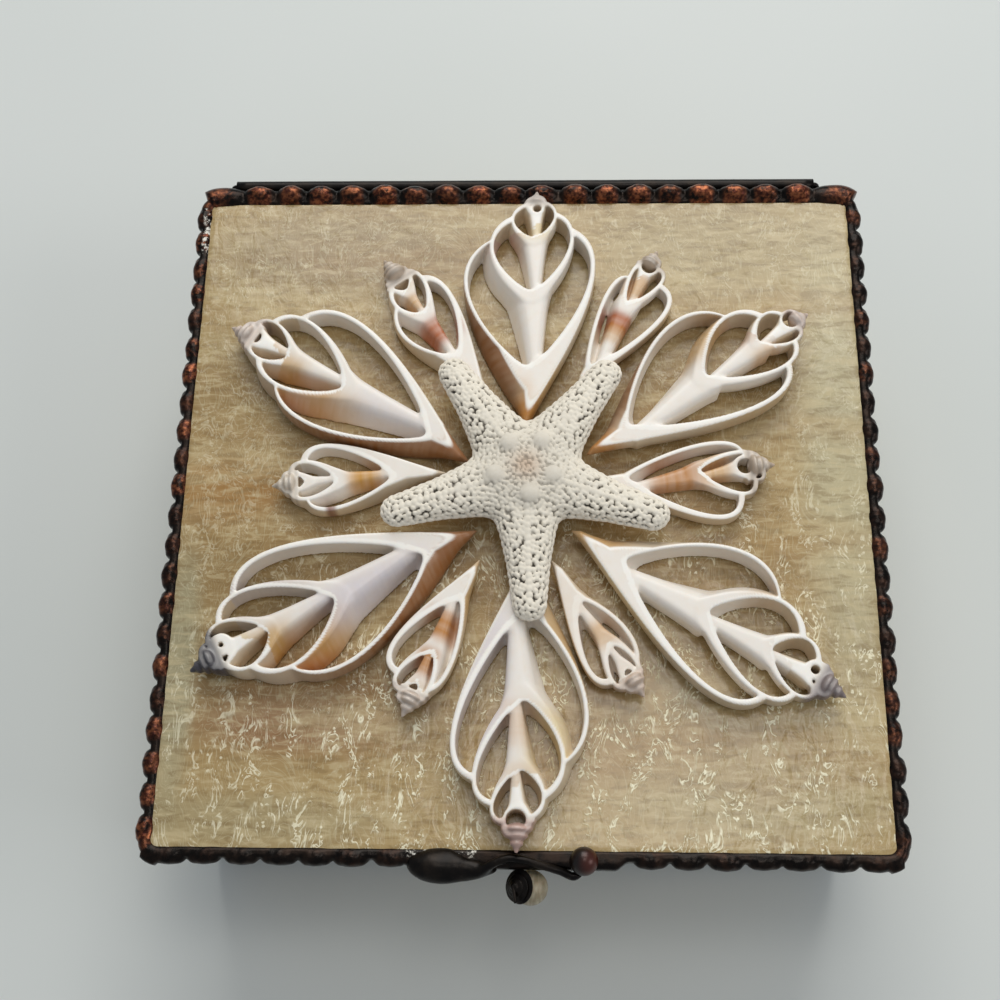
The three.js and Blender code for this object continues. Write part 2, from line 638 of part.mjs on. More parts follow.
place(lid, 'lid_glass', lidPane(), glassFinish);
place(lid, 'lid_beaded_rim', beadedRim(), patinaFinish);
place(lid, 'hinge_tube', hingeTube(), patinaFinish);
place(lid, 'pull_wire', pullWire(), patinaFinish);
place(lid, 'pull_ball', pullBall(), ballFinish);
place(lid, 'pull_snail', pullSnail(), shellFinish);
place(lid, 'pull_coil', pullCoil(), patinaFinish);

for (const [name, shell] of Object.entries(SHELLS)) {
  const large = name.startsWith('large');
  const thickness = large ? LARGE_THICKNESS : SMALL_THICKNESS;
  const rows = large ? OUTLINE_ROWS.large : OUTLINE_ROWS.small;
  const slice = place(rosette, name, shellSlice(shell, thickness, rows), shellFinish);
  const [x, y] = shell.apex;
  slice.position.set(x, y, GLUE + thickness - shell.cut);
  slice.rotation.z = Math.atan2(shell.aim[1] - y, shell.aim[0] - x);
}

const star = place(rosette, 'starfish', starfish(), starFinish);
star.position.set(STAR_CENTRE.x, STAR_CENTRE.y, LARGE_THICKNESS + 2 * GLUE);

export default box;
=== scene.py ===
import math

import bpy
import numpy as np
import openvdb
from mathutils import Euler, Matrix, Vector, kdtree


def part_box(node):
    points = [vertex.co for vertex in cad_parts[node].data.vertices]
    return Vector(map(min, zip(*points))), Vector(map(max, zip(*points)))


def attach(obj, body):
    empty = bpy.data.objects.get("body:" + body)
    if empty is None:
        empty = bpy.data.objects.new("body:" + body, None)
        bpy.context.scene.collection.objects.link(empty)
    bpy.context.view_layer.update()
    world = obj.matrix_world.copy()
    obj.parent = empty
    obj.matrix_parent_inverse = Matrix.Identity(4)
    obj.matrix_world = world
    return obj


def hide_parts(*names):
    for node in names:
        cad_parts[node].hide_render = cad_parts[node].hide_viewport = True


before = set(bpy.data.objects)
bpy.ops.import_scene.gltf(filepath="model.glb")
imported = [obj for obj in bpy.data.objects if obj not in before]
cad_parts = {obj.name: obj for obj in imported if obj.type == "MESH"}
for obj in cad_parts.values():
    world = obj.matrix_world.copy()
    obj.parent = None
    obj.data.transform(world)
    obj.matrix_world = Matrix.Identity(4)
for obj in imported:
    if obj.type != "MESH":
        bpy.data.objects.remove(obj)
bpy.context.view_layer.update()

# Lengths in this script are millimetres until a mesh is made
MM = 0.001


# Places taken from the frame. Lid pieces are placed from the centre of the lid pane's upper face.
def box_mm(node):
    low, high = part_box(node)
    return np.array(low) / MM, np.array(high) / MM


PANE_LOW, PANE_HIGH = box_mm("lid_glass")
LID = np.array([*((PANE_LOW + PANE_HIGH) / 2)[:2], PANE_HIGH[2]])
PANE_HALF = (PANE_HIGH[0] - PANE_LOW[0]) / 2


def rgb(code):
    """A colour code such as "efe6d8" as linear values"""
    parts = [int(code[i:i + 2], 16) / 255 for i in (0, 2, 4)]
    return np.array([p / 12.92 if p <= 0.04045 else ((p + 0.055) / 1.055) ** 2.4 for p in parts])


# Fields: numbers that are negative inside a form and positive outside it
def smooth_min(a, b, blend):
    share = np.clip(0.5 + 0.5 * (b - a) / blend, 0, 1)
    return b * (1 - share) + a * share - blend * share * (1 - share)


def smooth_max(a, b, blend):
    return -smooth_min(-a, -b, blend)


def smooth_step(value, low, high):
    share = np.clip((value - low) / (high - low), 0, 1)
    return share * share * (3 - 2 * share)


def capsule(x, y, z, start, end, radius):
    along = np.subtract(end, start).astype(float)
    share = (x - start[0]) * along[0] + (y - start[1]) * along[1] + (z - start[2]) * along[2]
    share = np.clip(share / (along @ along), 0, 1)
    return np.sqrt((x - start[0] - share * along[0]) ** 2 + (y - start[1] - share * along[1]) ** 2
                   + (z - start[2] - share * along[2]) ** 2) - radius


def ellipsoid(x, y, z, centre, halves):
    away = np.sqrt(((x - centre[0]) / halves[0]) ** 2 + ((y - centre[1]) / halves[1]) ** 2
                   + ((z - centre[2]) / halves[2]) ** 2)
    return (away - 1) * min(halves)


def value_noise(points, size, seed):
    """Smooth noise from -1 to 1 with lumps about one size across"""
    table = np.random.default_rng(seed).uniform(-1, 1, 4096)
    scaled = points / size
    cell = np.floor(scaled).astype(np.int64)
    part = scaled - cell
    part = part * part * (3 - 2 * part)
    total = np.zeros(len(points))
    for corner in np.ndindex(2, 2, 2):
        weight = np.prod(np.where(corner, part, 1 - part), axis=1)
        key = (cell + corner) @ np.array([73856093, 19349663, 83492791])
        total += weight * table[key % 4096]
    return total


def value_and_slope(field, points, reach=0.05):
    value = field(*points.T)
    slope = np.empty_like(points)
    for axis in range(3):
        ahead = points.copy()
        behind = points.copy()
        ahead[:, axis] += reach
        behind[:, axis] -= reach
        slope[:, axis] = (field(*ahead.T) - field(*behind.T)) / (2 * reach)
    return value, slope


def surface_of(field, low, high, voxel):
    """Points and four-sided faces of a field's surface, with the points moved onto it"""
    low = np.array(low, float)
    counts = np.ceil((np.array(high) - low) / voxel).astype(int) + 1
    axes = [low[i] + voxel * np.arange(counts[i]) for i in range(3)]
    values = field(*np.meshgrid(*axes, indexing="ij"))
    grid = openvdb.FloatGrid(float(values.max()))
    grid.copyFromArray(values.astype(np.float32))
    points, quads = grid.convertToQuads(0.0)
    points = low + points.astype(float) * voxel
    for _ in range(2):
        value, slope = value_and_slope(field, points)
        step = value / np.maximum((slope ** 2).sum(1), 0.2)
        points -= np.clip(step, -0.4 * voxel, 0.4 * voxel)[:, None] * slope
    return points, quads


# Meshes
def make_piece(name, points, faces, material, body, nodes, attributes=None):
    """A mesh piece, from points in millimetres, that rides on a body and stands for CAD nodes"""
    mesh = bpy.data.meshes.new(name)
    mesh.from_pydata((np.asarray(points) * MM).tolist(), [], [tuple(int(i) for i in f) for f in faces])
    mesh.shade_smooth()
    for key, values in (attributes or {}).items():
        if values.ndim == 2:
            layer = mesh.attributes.new(key, "FLOAT_COLOR", "POINT")
            filled = np.ones((len(values), 4), np.float32)
            filled[:, :3] = values
            layer.data.foreach_set("color", filled.ravel())
        else:
            layer = mesh.attributes.new(key, "FLOAT", "POINT")
            layer.data.foreach_set("value", values.astype(np.float32))
    mesh.materials.append(material)
    piece = bpy.data.objects.new(name, mesh)
    bpy.context.scene.collection.objects.link(piece)
    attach(piece, body)
    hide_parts(*nodes)
    return piece


def loft(rings, closed_path=False):
    """Points and faces of a skin over rings with the same number of points"""
    rings = np.asarray(rings)
    count, around = rings.shape[:2]
    points = rings.reshape(-1, 3)
    spans = count if closed_path else count - 1
    i, j = np.meshgrid(np.arange(spans), np.arange(around), indexing="ij")
    a = i * around + j
    b = i * around + (j + 1) % around
    c = ((i + 1) % count) * around + (j + 1) % around
    d = ((i + 1) % count) * around + j
    faces = [tuple(f) for f in np.stack([a, b, c, d], -1).reshape(-1, 4)]
    if not closed_path:
        first = len(points)
        points = np.vstack([points, rings[0].mean(0), rings[-1].mean(0)])
        last = (count - 1) * around
        for j in range(around):
            faces.append((first, (j + 1) % around, j))
            faces.append((first + 1, last + j, last + (j + 1) % around))
    return points, faces


def joined(first, second):
    """Two sets of points and faces as one"""
    points, faces = first
    more_points, more_faces = second
    shifted = [tuple(i + len(points) for i in face) for face in more_faces]
    return np.vstack([points, more_points]), list(faces) + shifted


def between(a, b, start, end, place):
    return ((end - place) * a + (place - start) * b) / (end - start)


def smooth_path(points, steps):
    """A curve through points that doesn't overshoot, as places and directions along it"""
    points = np.array(points, float)
    ends = np.vstack([2 * points[0] - points[1], points, 2 * points[-1] - points[-2]])
    knots = np.append(0, np.cumsum(np.sqrt(np.linalg.norm(np.diff(ends, axis=0), axis=1))))
    spots = []
    for share in np.linspace(0, len(points) - 1, steps):
        i = min(int(share), len(points) - 2)
        p, k = ends[i:i + 4], knots[i:i + 4]
        place = k[1] + (share - i) * (k[2] - k[1])
        a = [between(p[j], p[j + 1], k[j], k[j + 1], place) for j in range(3)]
        b = [between(a[j], a[j + 1], k[j], k[j + 2], place) for j in range(2)]
        spots.append(between(b[0], b[1], k[1], k[2], place))
    spots = np.array(spots)
    ways = np.gradient(spots, axis=0)
    return spots, ways / np.linalg.norm(ways, axis=1)[:, None]


def tube_rings(points, radius, steps, sides):
    """Rings of a round tube along a path, with the radius a number or one for each step"""
    spots, ways = smooth_path(points, steps)
    radii = np.broadcast_to(radius, steps)
    side = np.cross(ways[0], [0.3, 0.2, 1.0])
    turn = np.linspace(0, 2 * math.pi, sides, endpoint=False)[:, None]
    rings = []
    for spot, way, size in zip(spots, ways, radii):
        side = side - (side @ way) * way
        side /= np.linalg.norm(side)
        rings.append(spot + size * (np.cos(turn) * side + np.sin(turn) * np.cross(way, side)))
    return np.array(rings)


def lump(centre, halves, roughness, around, along, seed):
    """A rounded lump with soft dents"""
    rings = []
    turn = np.linspace(0, 2 * math.pi, around, endpoint=False)
    for lift in np.linspace(0.04, math.pi - 0.04, along):
        rings.append(np.stack([np.cos(turn) * math.sin(lift), np.sin(turn) * math.sin(lift),
                               np.full(around, -math.cos(lift))], 1))
    points, faces = loft(rings)
    size = max(halves)
    dents = value_noise(points * size, size * 0.7, seed)
    return points * (1 + 0.5 * roughness * (dents - 1))[:, None] * halves + centre, faces


# Materials: a small helper for node trees
class Nodes:
    """A material's node tree, with short calls for the nodes that the finishes use"""

    def __init__(self, name):
        self.material = bpy.data.materials.new(name)
        self.material.use_nodes = True
        self.tree = self.material.node_tree
        self.shader = self.tree.nodes["Principled BSDF"]

    def add(self, kind, inputs=None, **settings):
        node = self.tree.nodes.new(kind)
        for key, value in settings.items():
            setattr(node, key, value)
        for key, value in (inputs or {}).items():
            self.put(node.inputs[key], value)
        return node

    def put(self, socket, value):
        if isinstance(value, bpy.types.NodeSocket):
            self.tree.links.new(value, socket)
        elif hasattr(value, "__len__") and len(value) == 3 and len(socket.default_value) == 4:
            socket.default_value = (*value, 1.0)
        else:
            socket.default_value = value

    def set(self, **values):
        for key, value in values.items():
            self.put(self.shader.inputs[key.replace("_", " ")], value)

    def place(self, scale=(1, 1, 1), turn=(0, 0, 0), shift=(0, 0, 0)):
        coordinates = self.add("ShaderNodeTexCoord").outputs["Object"]
        return self.add("ShaderNodeMapping", {
            "Vector": coordinates, "Scale": scale, "Rotation": turn, "Location": shift,
        }).outputs["Vector"]

    def noise(self, where, size, detail=3.0, roughness=0.5, distortion=0.0):
        return self.add("ShaderNodeTexNoise", {
            "Vector": where, "Scale": 1000 / size, "Detail": detail, "Roughness": roughness,
            "Distortion": distortion,
        }).outputs["Fac"]

    def ramp(self, value, low, high, to_low=0.0, to_high=1.0):
        return self.add("ShaderNodeMapRange", {
            "Value": value, "From Min": low, "From Max": high, "To Min": to_low, "To Max": to_high,
        }, interpolation_type="SMOOTHSTEP").outputs["Result"]

    def math(self, kind, a, b=0.0):
        node = self.add("ShaderNodeMath", operation=kind)
        self.put(node.inputs[0], a)
        self.put(node.inputs[1], b)
        return node.outputs[0]

    def mix(self, share, a, b, blend="MIX"):
        node = self.add("ShaderNodeMix", data_type="RGBA", blend_type=blend)
        self.put(node.inputs[0], share)
        self.put(node.inputs[6], a)
        self.put(node.inputs[7], b)
        return node.outputs[2]

    def attribute(self, name):
        return self.add("ShaderNodeAttribute", attribute_name=name)

    def bump(self, height, distance, strength=1.0, normal=None):
        inputs = {"Height": height, "Distance": distance * MM, "Strength": strength}
        if normal is not None:
            inputs["Normal"] = normal
        return self.add("ShaderNodeBump", inputs).outputs["Normal"]

    def patch(self, centre, halves, strength):
        """A soft elliptical patch in the lid's plane, with places in millimetres from its centre"""
        shift = [-(c + m) / h for c, m, h in zip(centre, LID[:2], halves)] + [0]
        scale = [1 / (h * MM) for h in halves] + [0]
        away = self.add("ShaderNodeVectorMath", {0: self.place(scale=scale, shift=shift)},
                        operation="LENGTH").outputs["Value"]
        return self.ramp(away, 0.35, 1.15, strength, 0)

    def creases(self, where, size, lines, thickness):
        """Thin wandering lines: places where a noise passes evenly spaced levels"""
        noise = self.noise(where, size, detail=3, roughness=0.55, distortion=1.4)
        level = self.math("MULTIPLY", noise, lines)
        away = self.math("ABSOLUTE", self.math("SUBTRACT", self.math("FRACT", level), 0.5))
        return self.ramp(away, 0, thickness, 1, 0)


# Broad patches of colour in the lid's glass: centre, half sizes, colour and strength
LID_PATCHES = [
    ((-66, 3), (22, 10), "a1763f", 0.8), ((-40, -46), (40, 14), "946f47", 0.7),
    ((-48, -50), (24, 7), "9a7458", 0.5), ((0, 0), (62, 40), "a9875a", 0.4),
    ((30, -48), (32, 24), "97794c", 0.4), ((70, 10), (11, 70), "c2ba98", 0.75),
    ((-73, -40), (5, 36), "a9a88b", 0.6), ((52, -64), (36, 12), "aa9c74", 0.6),
    ((-60, -70), (40, 7), "a2946f", 0.6), ((46, 62), (40, 16), "b3a47c", 0.5),
    ((-44, 62), (40, 14), "958160", 0.7), ((62, -8), (16, 6), "b08d58", 0.4),
]


def glass_material(name, patches=(), streak_turn=(0, 0, 0)):
    """Streaky amber and cream opal glass, with painted glints: pale crease lines and dots, bumped as well
    """
    n = Nodes(name)
    flow = n.place(scale=(0.22, 1.0, 1.0), turn=streak_turn)
    plain = n.place()
    upright = n.place(scale=(1.0, 0.5, 1.0), turn=streak_turn)
    broad = n.noise(flow, 40, detail=4, roughness=0.55, distortion=0.4)
    fine = n.noise(flow, 8, detail=5, roughness=0.6, distortion=0.6)
    colour = n.mix(n.ramp(broad, 0.35, 0.65), rgb("9c8256"), rgb("b49a6a"))
    for centre, halves, code, strength in patches:
        colour = n.mix(n.patch(centre, halves, strength), colour, rgb(code))
    dashes = n.noise(n.place(scale=(0.28, 1.0, 1.0), turn=streak_turn), 1.3, detail=3, distortion=0.6)
    colour = n.mix(n.ramp(fine, 0.45, 0.75, 0, 0.5), colour, rgb("d3c296"))
    colour = n.mix(n.ramp(n.noise(flow, 18, detail=4), 0.5, 0.72, 0, 0.4), colour, rgb("a07b4c"))
    colour = n.mix(n.ramp(dashes, 0.5, 0.66, 0, 0.38), colour, rgb("7a6036"))
    colour = n.mix(n.ramp(dashes, 0.34, 0.47, 0.4, 0), colour, rgb("d2c096"))
    # Painted highlights: pale glint lines and dots in patches, stronger towards the front of the lid, and
    # a faint web of fainter painted glint lines over all
    glint_patches = n.ramp(n.noise(upright, 4.2, detail=3, roughness=0.5), 0.48, 0.56)
    lines = n.math("MULTIPLY", n.creases(upright, 4, 6, 0.2), glint_patches)
    faint = n.math("MULTIPLY", n.creases(upright, 9, 16, 0.16), 0.3)
    cells = n.add("ShaderNodeTexVoronoi", {"Vector": plain, "Scale": 1000 / 2.1}).outputs["Distance"]
    glint_dots = n.math("MULTIPLY", n.ramp(cells, 0.1, 0.19, 1, 0), glint_patches)
    lines = n.math("MAXIMUM", lines, glint_dots)
    lines = n.math("MULTIPLY", lines, n.math("ADD", n.patch((20, -58), (110, 72), 0.75), 0.25))
    colour = n.mix(n.math("MULTIPLY", lines, 0.95), colour, rgb("fbf4d4"))
    colour = n.mix(faint, colour, rgb("d2c8a4"))
    n.set(Base_Color=colour, Roughness=0.2, IOR=1.45)
    ripple = n.noise(upright, 3.0, detail=3, roughness=0.5, distortion=1.0)
    normal = n.bump(ripple, 0.3, 0.5)
    n.set(Normal=n.bump(lines, 0.09, 0.5, normal))
    return n.material


def patina_material(name):
    """Solder with a near black patina, clouded and with a few paler specks"""
    n = Nodes(name)
    where = n.place()
    blotch = n.noise(where, 5.5, detail=6, roughness=0.62)
    speck = n.noise(where, 0.9, detail=3)
    colour = n.mix(n.ramp(blotch, 0.4, 0.7), rgb("120f0d"), rgb("28211b"))
    colour = n.mix(n.ramp(speck, 0.62, 0.8, 0, 0.25), colour, rgb("5c5148"))
    n.set(Base_Color=colour, Metallic=0.75, Roughness=n.ramp(blotch, 0.3, 0.8, 0.28, 0.46))
    lumps = n.bump(blotch, 0.25, 0.5)
    n.set(Normal=n.bump(speck, 0.05, 0.4, lumps))
    return n.material


def rim_material(name):
    """The patina, worn to copper where the beads stand out, with pale flux left in corners"""
    n = Nodes(name)
    where = n.place()
    blotch = n.noise(where, 3.0, detail=6, roughness=0.65)
    speck = n.noise(where, 0.8, detail=3)
    crest = n.attribute("crest").outputs["Fac"]
    copper = n.attribute("copper").outputs["Fac"]
    flux = n.attribute("flux").outputs["Fac"]
    dark = n.mix(n.ramp(blotch, 0.4, 0.7), rgb("14100d"), rgb("2c211a"))
    warm = n.mix(n.ramp(speck, 0.35, 0.7), rgb("4a2017"), rgb("a0603e"))
    worn = n.math("MULTIPLY", n.ramp(crest, 0.2, 0.8), copper)
    worn = n.math("MULTIPLY", worn, n.ramp(blotch, 0.36, 0.56))
    colour = n.mix(worn, dark, warm)
    white = n.math("MULTIPLY", flux, n.ramp(n.noise(where, 1.3, detail=5, roughness=0.7), 0.5, 0.6))
    n.set(Base_Color=n.mix(white, colour, rgb("d8d4c8")), Metallic=n.math("SUBTRACT", 0.8, white))
    n.set(Roughness=n.ramp(blotch, 0.3, 0.8, 0.24, 0.42))
    lumps = n.bump(blotch, 0.22, 0.5)
    n.set(Normal=n.bump(speck, 0.06, 0.5, lumps))
    return n.material


def shell_material(name):
    """Polished shell: its tints come from the mesh, with faint growth lines and mottling"""
    n = Nodes(name)
    where = n.place()
    tint = n.attribute("tint").outputs["Color"]
    mottle = n.noise(where, 2.4, detail=5, roughness=0.6)
    colour = n.mix(n.ramp(mottle, 0.35, 0.75, 0, 0.3), tint, rgb("fff4e6"), "MULTIPLY")
    colour = n.mix(n.ramp(mottle, 0.6, 0.85, 0, 0.14), colour, rgb("bda58c"))
    n.set(Base_Color=colour, Roughness=0.34, Subsurface_Weight=0.04, Subsurface_Scale=0.0006)
    n.set(Subsurface_Radius=(1.0, 0.6, 0.4))
    n.set(Normal=n.bump(n.noise(where, 1.1, detail=4, roughness=0.6), 0.04, 0.35))
    return n.material


def star_material(name):
    """Dry starfish: chalky granules, with painted shade in the gaps between them from the mesh's tint"""
    n = Nodes(name)
    where = n.place()
    tint = n.attribute("tint").outputs["Color"]
    grain = n.noise(where, 0.7, detail=4, roughness=0.7)
    colour = n.mix(n.ramp(grain, 0.3, 0.7, 0.0, 0.3), tint, rgb("efe8da"), "MULTIPLY")
    n.set(Base_Color=colour, Roughness=0.8)
    n.set(Normal=n.bump(grain, 0.08, 0.5))
    return n.material


def ball_material(name):
    """A polished dark ball with a painted red-brown sheen on the side that faces the side lamp"""
    n = Nodes(name)
    where = n.place()
    cloud = n.noise(where, 3.0, detail=4)
    glow = n.attribute("glow").outputs["Fac"]
    colour = n.mix(n.ramp(cloud, 0.4, 0.7), rgb("17110f"), rgb("261a16"))
    n.set(Base_Color=n.mix(glow, colour, rgb("4a2118")), Metallic=0.3, Roughness=0.3)
    n.set(Normal=n.bump(cloud, 0.1, 0.3))
    return n.material


def snail_material(name):
    """Cream snail shell with faint growth bands"""
    n = Nodes(name)
    where = n.place()
    bands = n.noise(n.place(scale=(2.5, 0.6, 0.6)), 1.6, detail=4)
    spots = n.noise(where, 3.0, detail=4)
    colour = n.mix(n.ramp(bands, 0.35, 0.7), rgb("8f8268"), rgb("b3a78d"))
    colour = n.mix(n.ramp(spots, 0.6, 0.8, 0, 0.4), colour, rgb("7a664b"))
    n.set(Base_Color=colour, Roughness=0.35, Subsurface_Weight=0.1, Subsurface_Scale=0.001)
    n.set(Normal=n.bump(bands, 0.08, 0.4))
    return n.material


GLASS = glass_material("opal glass", LID_PATCHES)
WALL_GLASS = glass_material("opal wall glass", streak_turn=(math.radians(90), 0, 0))
PATINA = patina_material("dark solder")
RIM = rim_material("beaded rim")
SHELL = shell_material("polished shell")
STAR = star_material("dry starfish")
BALL_FINISH = ball_material("dark ball")
SNAIL_FINISH = snail_material("snail shell")

# Sliced shells. apex and aim give each one's place and direction on the lid, length runs from
# the apex to the narrow end. ends are the far points of the nested chambers, from the outer one
# in. A side's start, peak and width shape the outer whorl to the left and right of that
# direction. cut is how far above the axis the upper face lies, stem the radius of the central
# column and lean how far it moves to the left per millimetre. A ring is a round chamber near the
# apex: place, radius and wall. Tints are (surface, u, v, half length, half width, colour,
# strength), where the surface is outer, inner or all.
LARGE_THICKNESS = 6
SMALL_THICKNESS = 4.5
GLUE = 0.25
LARGE_VOXEL = 0.4
SMALL_VOXEL = 0.32
BROWN = "96581a"
RUST = "b05a1a"
ORANGE = "bd7a24"
TAN = "c4984c"
OCHRE = "cb943a"
CREAM = "e0c88c"
PINK = "d8bd9c"
# The lavender and mauve tints on the inner chamber walls are partly the shell's own tone and partly
# painted shade
LAVENDER_AND_WALL_SHADE = "cfc6ce"
MAUVE_AND_WALL_SHADE = "a39290"
SHELLS = {
    "large_shell_back": dict(
        apex=(2.5, 76), aim=(0.5, 17), length=62, ends=(47.5, 28.3, 14.3, 6.6),
        left=(9.5, 21, 14.3), right=(10.5, 24.5, 16), cut=2.2, stem=2.3, lean=0.03,
        ring=(5.8, 0.3, 0.9, 0.6), spire="c2b4a8", tints=[
            ("outer", 44, -9, 24, 9, BROWN, 0.95), ("outer", 54, 6, 9, 7, TAN, 0.8),
            ("outer", 59, 0, 5, 5, ORANGE, 0.9), ("inner", 54, -3, 5, 4, OCHRE, 0.5),
            ("inner", 13, -7, 6, 4, RUST, 0.55), ("inner", 9, 0, 5, 4, CREAM, 0.8)]),
    "large_shell_back_right": dict(
        apex=(64, 43.5), aim=(14, 9), length=61.5, ends=(50.5, 29.5, 14.8, 7),
        left=(10.5, 20.5, 13.1), right=(13, 26, 15.5), cut=1.8, stem=2.3, lean=0.045,
        ring=(4.8, -0.6, 1.9, 0.6), spire="d6c2b6", tints=[
            ("outer", 48, -10, 16, 9, BROWN, 0.85), ("outer", 59, 0, 6, 6, ORANGE, 0.95),
            ("inner", 24, -9, 9, 5, TAN, 0.85), ("inner", 14, -5, 5, 4, ORANGE, 0.5),
            ("inner", 14, 4, 4, 3, OCHRE, 0.6), ("outer", 20, 12, 14, 6, TAN, 0.5)]),
    "large_shell_front_right": dict(
        apex=(66.5, -44.5), aim=(11, -9), length=67, ends=(54, 33.5, 18.5, 9.3),
        left=(12.5, 23, 14.7), right=(17.5, 31, 16), cut=1.8, stem=2.4, lean=0.045,
        ring=(8.2, -1.2, 0.9, 1.3), spire="8f8281", tints=[
            ("outer", 62, -4, 8, 7, OCHRE, 0.8), ("outer", 50, 9, 14, 7, CREAM, 0.6),
            ("inner", 12, -5, 5, 4, "6e5040", 0.6), ("inner", 22, -9, 6, 4, TAN, 0.5)]),
    "large_shell_front": dict(
        apex=(-0.7, -76.5), aim=(1, -18), length=64, ends=(51, 31.7, 17.3, 9),
        left=(13, 22, 14.4), right=(14, 27.5, 14), cut=2, stem=2.1, lean=0.045,
        ring=(6.5, 0.3, 2, 0.6), spire="cba99c", tints=[
            ("inner", 22, -6, 8, 5, CREAM, 0.85), ("inner", 13, -1, 5, 5, PINK, 0.7),
            ("inner", 26, 1, 5, 4, "d9b58f", 0.6), ("outer", 44, -9, 18, 7, TAN, 0.7),
            ("inner", 36, 9, 18, 6, LAVENDER_AND_WALL_SHADE, 0.6)]),
    "large_shell_front_left": dict(
        apex=(-69.5, -40), aim=(-10, -8.5), length=68, ends=(56, 35, 19.5, 10.2),
        left=(13, 24, 16.3), right=(15.5, 29.5, 14.9), cut=2.3, stem=2.4, lean=0.045,
        ring=(8.4, 1.6, 0.5, 2.0), spire="4a474e", tints=[
            ("outer", 46, -9, 27, 10, BROWN, 1.0), ("outer", 63, 0, 8, 8, BROWN, 0.9),
            ("inner", 24, -9, 8, 6, ORANGE, 0.95), ("inner", 30, -6, 6, 5, TAN, 0.7),
            ("inner", 16, -4, 7, 5, TAN, 0.95), ("inner", 10, -1, 4, 4, CREAM, 0.8),
            ("inner", 42, -2, 14, 5, LAVENDER_AND_WALL_SHADE, 0.7), ("inner", 18, 9, 14, 5, MAUVE_AND_WALL_SHADE, 0.5)]),
    "large_shell_back_left": dict(
        apex=(-67, 40.5), aim=(-13, 8), length=65, ends=(55, 32.5, 17.5, 9.8),
        left=(11.5, 23.5, 15.8), right=(14.5, 27.5, 12), cut=2.3, stem=2.3, lean=0.045,
        spire="dccabc", tints=[
            ("outer", 44, -8, 27, 9, BROWN, 1.0), ("outer", 61, -1, 7, 7, BROWN, 0.9),
            ("inner", 24, -7, 9, 5, ORANGE, 0.7), ("inner", 31, -5, 7, 5, TAN, 0.5),
            ("inner", 16, -4, 6, 5, TAN, 0.8), ("inner", 9, -1, 4, 4, PINK, 0.6),
            ("inner", 44, -1, 10, 4, LAVENDER_AND_WALL_SHADE, 0.4)]),
    "small_shell_back_left": dict(
        apex=(-33, 58.1), aim=(-11, 27.6), length=43, ends=(31, 17.8, 10.5),
        left=(8.5, 15.5, 7.9), right=(9, 19, 8), cut=1.3, stem=1.3, lean=-0.02,
        spire="cbb9a6", tints=[
            ("inner", 23, -0.5, 3.6, 6, RUST, 1.0), ("inner", 14, -1, 2.4, 2.4, OCHRE, 0.8),
            ("inner", 8, 0, 3, 3, PINK, 0.5)]),
    "small_shell_back_right": dict(
        apex=(30.5, 60.2), aim=(13, 27.6), length=41, ends=(34.5, 16.7, 7.4),
        left=(7.5, 13.5, 9.5), right=(8, 15, 5.6), cut=1.2, stem=1.5, lean=0.06,
        ring=(5, 0.3, 1.7, 0.7), spire="cbb9a6", tints=[
            ("inner", 21, 1, 2.8, 6, RUST, 1.0), ("inner", 24, 1, 2.5, 4, OCHRE, 0.6),
            ("inner", 11, 0, 3.4, 3, OCHRE, 0.8)]),
    "small_shell_right": dict(
        apex=(54.8, 7.1), aim=(16, 3.1), length=40, ends=(33, 17.3, 8.8),
        left=(7.5, 13, 11.8), right=(5, 13, 6.7), cut=1.2, stem=1.5, lean=0.08,
        ring=(6.7, 0, 1.7, 0.9), spire="cbb9a6", tints=[
            ("inner", 22, 1, 6, 5, ORANGE, 0.95), ("inner", 13, 0, 3.4, 4, OCHRE, 0.85)]),
    "small_shell_front_right": dict(
        apex=(25.4, -44.6), aim=(7, -16.5), length=36, ends=(25.3, 13.7, 7.6),
        left=(5.5, 10.5, 7.3), right=(4, 13, 5.4), cut=1.1, stem=1.1, lean=0.03,
        spire="d6c3b6", tints=[
            ("inner", 16, 0, 3, 3, OCHRE, 0.7), ("all", 14, 0, 20, 9, PINK, 0.25)]),
    "small_shell_front_left": dict(
        apex=(-24.6, -49.1), aim=(-8.5, -13.5), length=38, ends=(28.5, 15.6, 8.2),
        left=(7, 12.5, 9), right=(5, 13, 5.2), cut=1.2, stem=1.25, lean=0.045,
        spire="d8c8ba", tints=[
            ("inner", 21, 1, 3.4, 4, ORANGE, 1.0), ("inner", 12.5, 0.5, 3.2, 2.4, ORANGE, 1.0),
            ("outer", 31, -4, 8, 5, TAN, 0.8), ("inner", 6, 0, 2.4, 2, PINK, 0.7)]),
    "small_shell_left": dict(
        apex=(-55.2, 1.8), aim=(-15, 5.1), length=39, ends=(27.3, 15, 8),
        left=(6.3, 12, 8.8), right=(6, 12.5, 7.4), cut=1.2, stem=1.25, lean=0.03,
        spire="ddd0bf", tints=[
            ("inner", 20.5, 0.5, 3.8, 3.4, OCHRE, 1.0), ("all", 13, -6.6, 1.2, 1.4, "7a3d22", 0.9)]),
}

# Law of growth that the shells share
GROWTH = 0.85
TAPER_OUTER = 1.2
TAPER_CHAMBER = 0.95
TAPER_GOBLET = 0.8
FLATTENING = 0.75
SHELL_WALL = 1.15
WALL_MIN = 0.55
CHAMBER_START = 1.2
GOBLET_FOOT = 3
COLUMN_FLARE = 1.55
COLUMN_TAPER = 0.62
COLUMN_ROUND = 2.2
COLUMN_ROUND_STEM = 2.3
COLUMN_GAIN = 0.7
FLANK_PER_STEM = 2.3
FLANK_AT_START = 0.3
SPIRE_SLOPE = 0.55
SPIRE_SHARE = 0.75
SPIRE_ROUND_SHARE = 0.55
RIDGE_PITCH = 1.5
RIDGE_HEIGHT = 0.22
EDGE_ROUND = 0.3
BEVEL_RIM = 1.0
BEVEL_LIMIT = 1.7


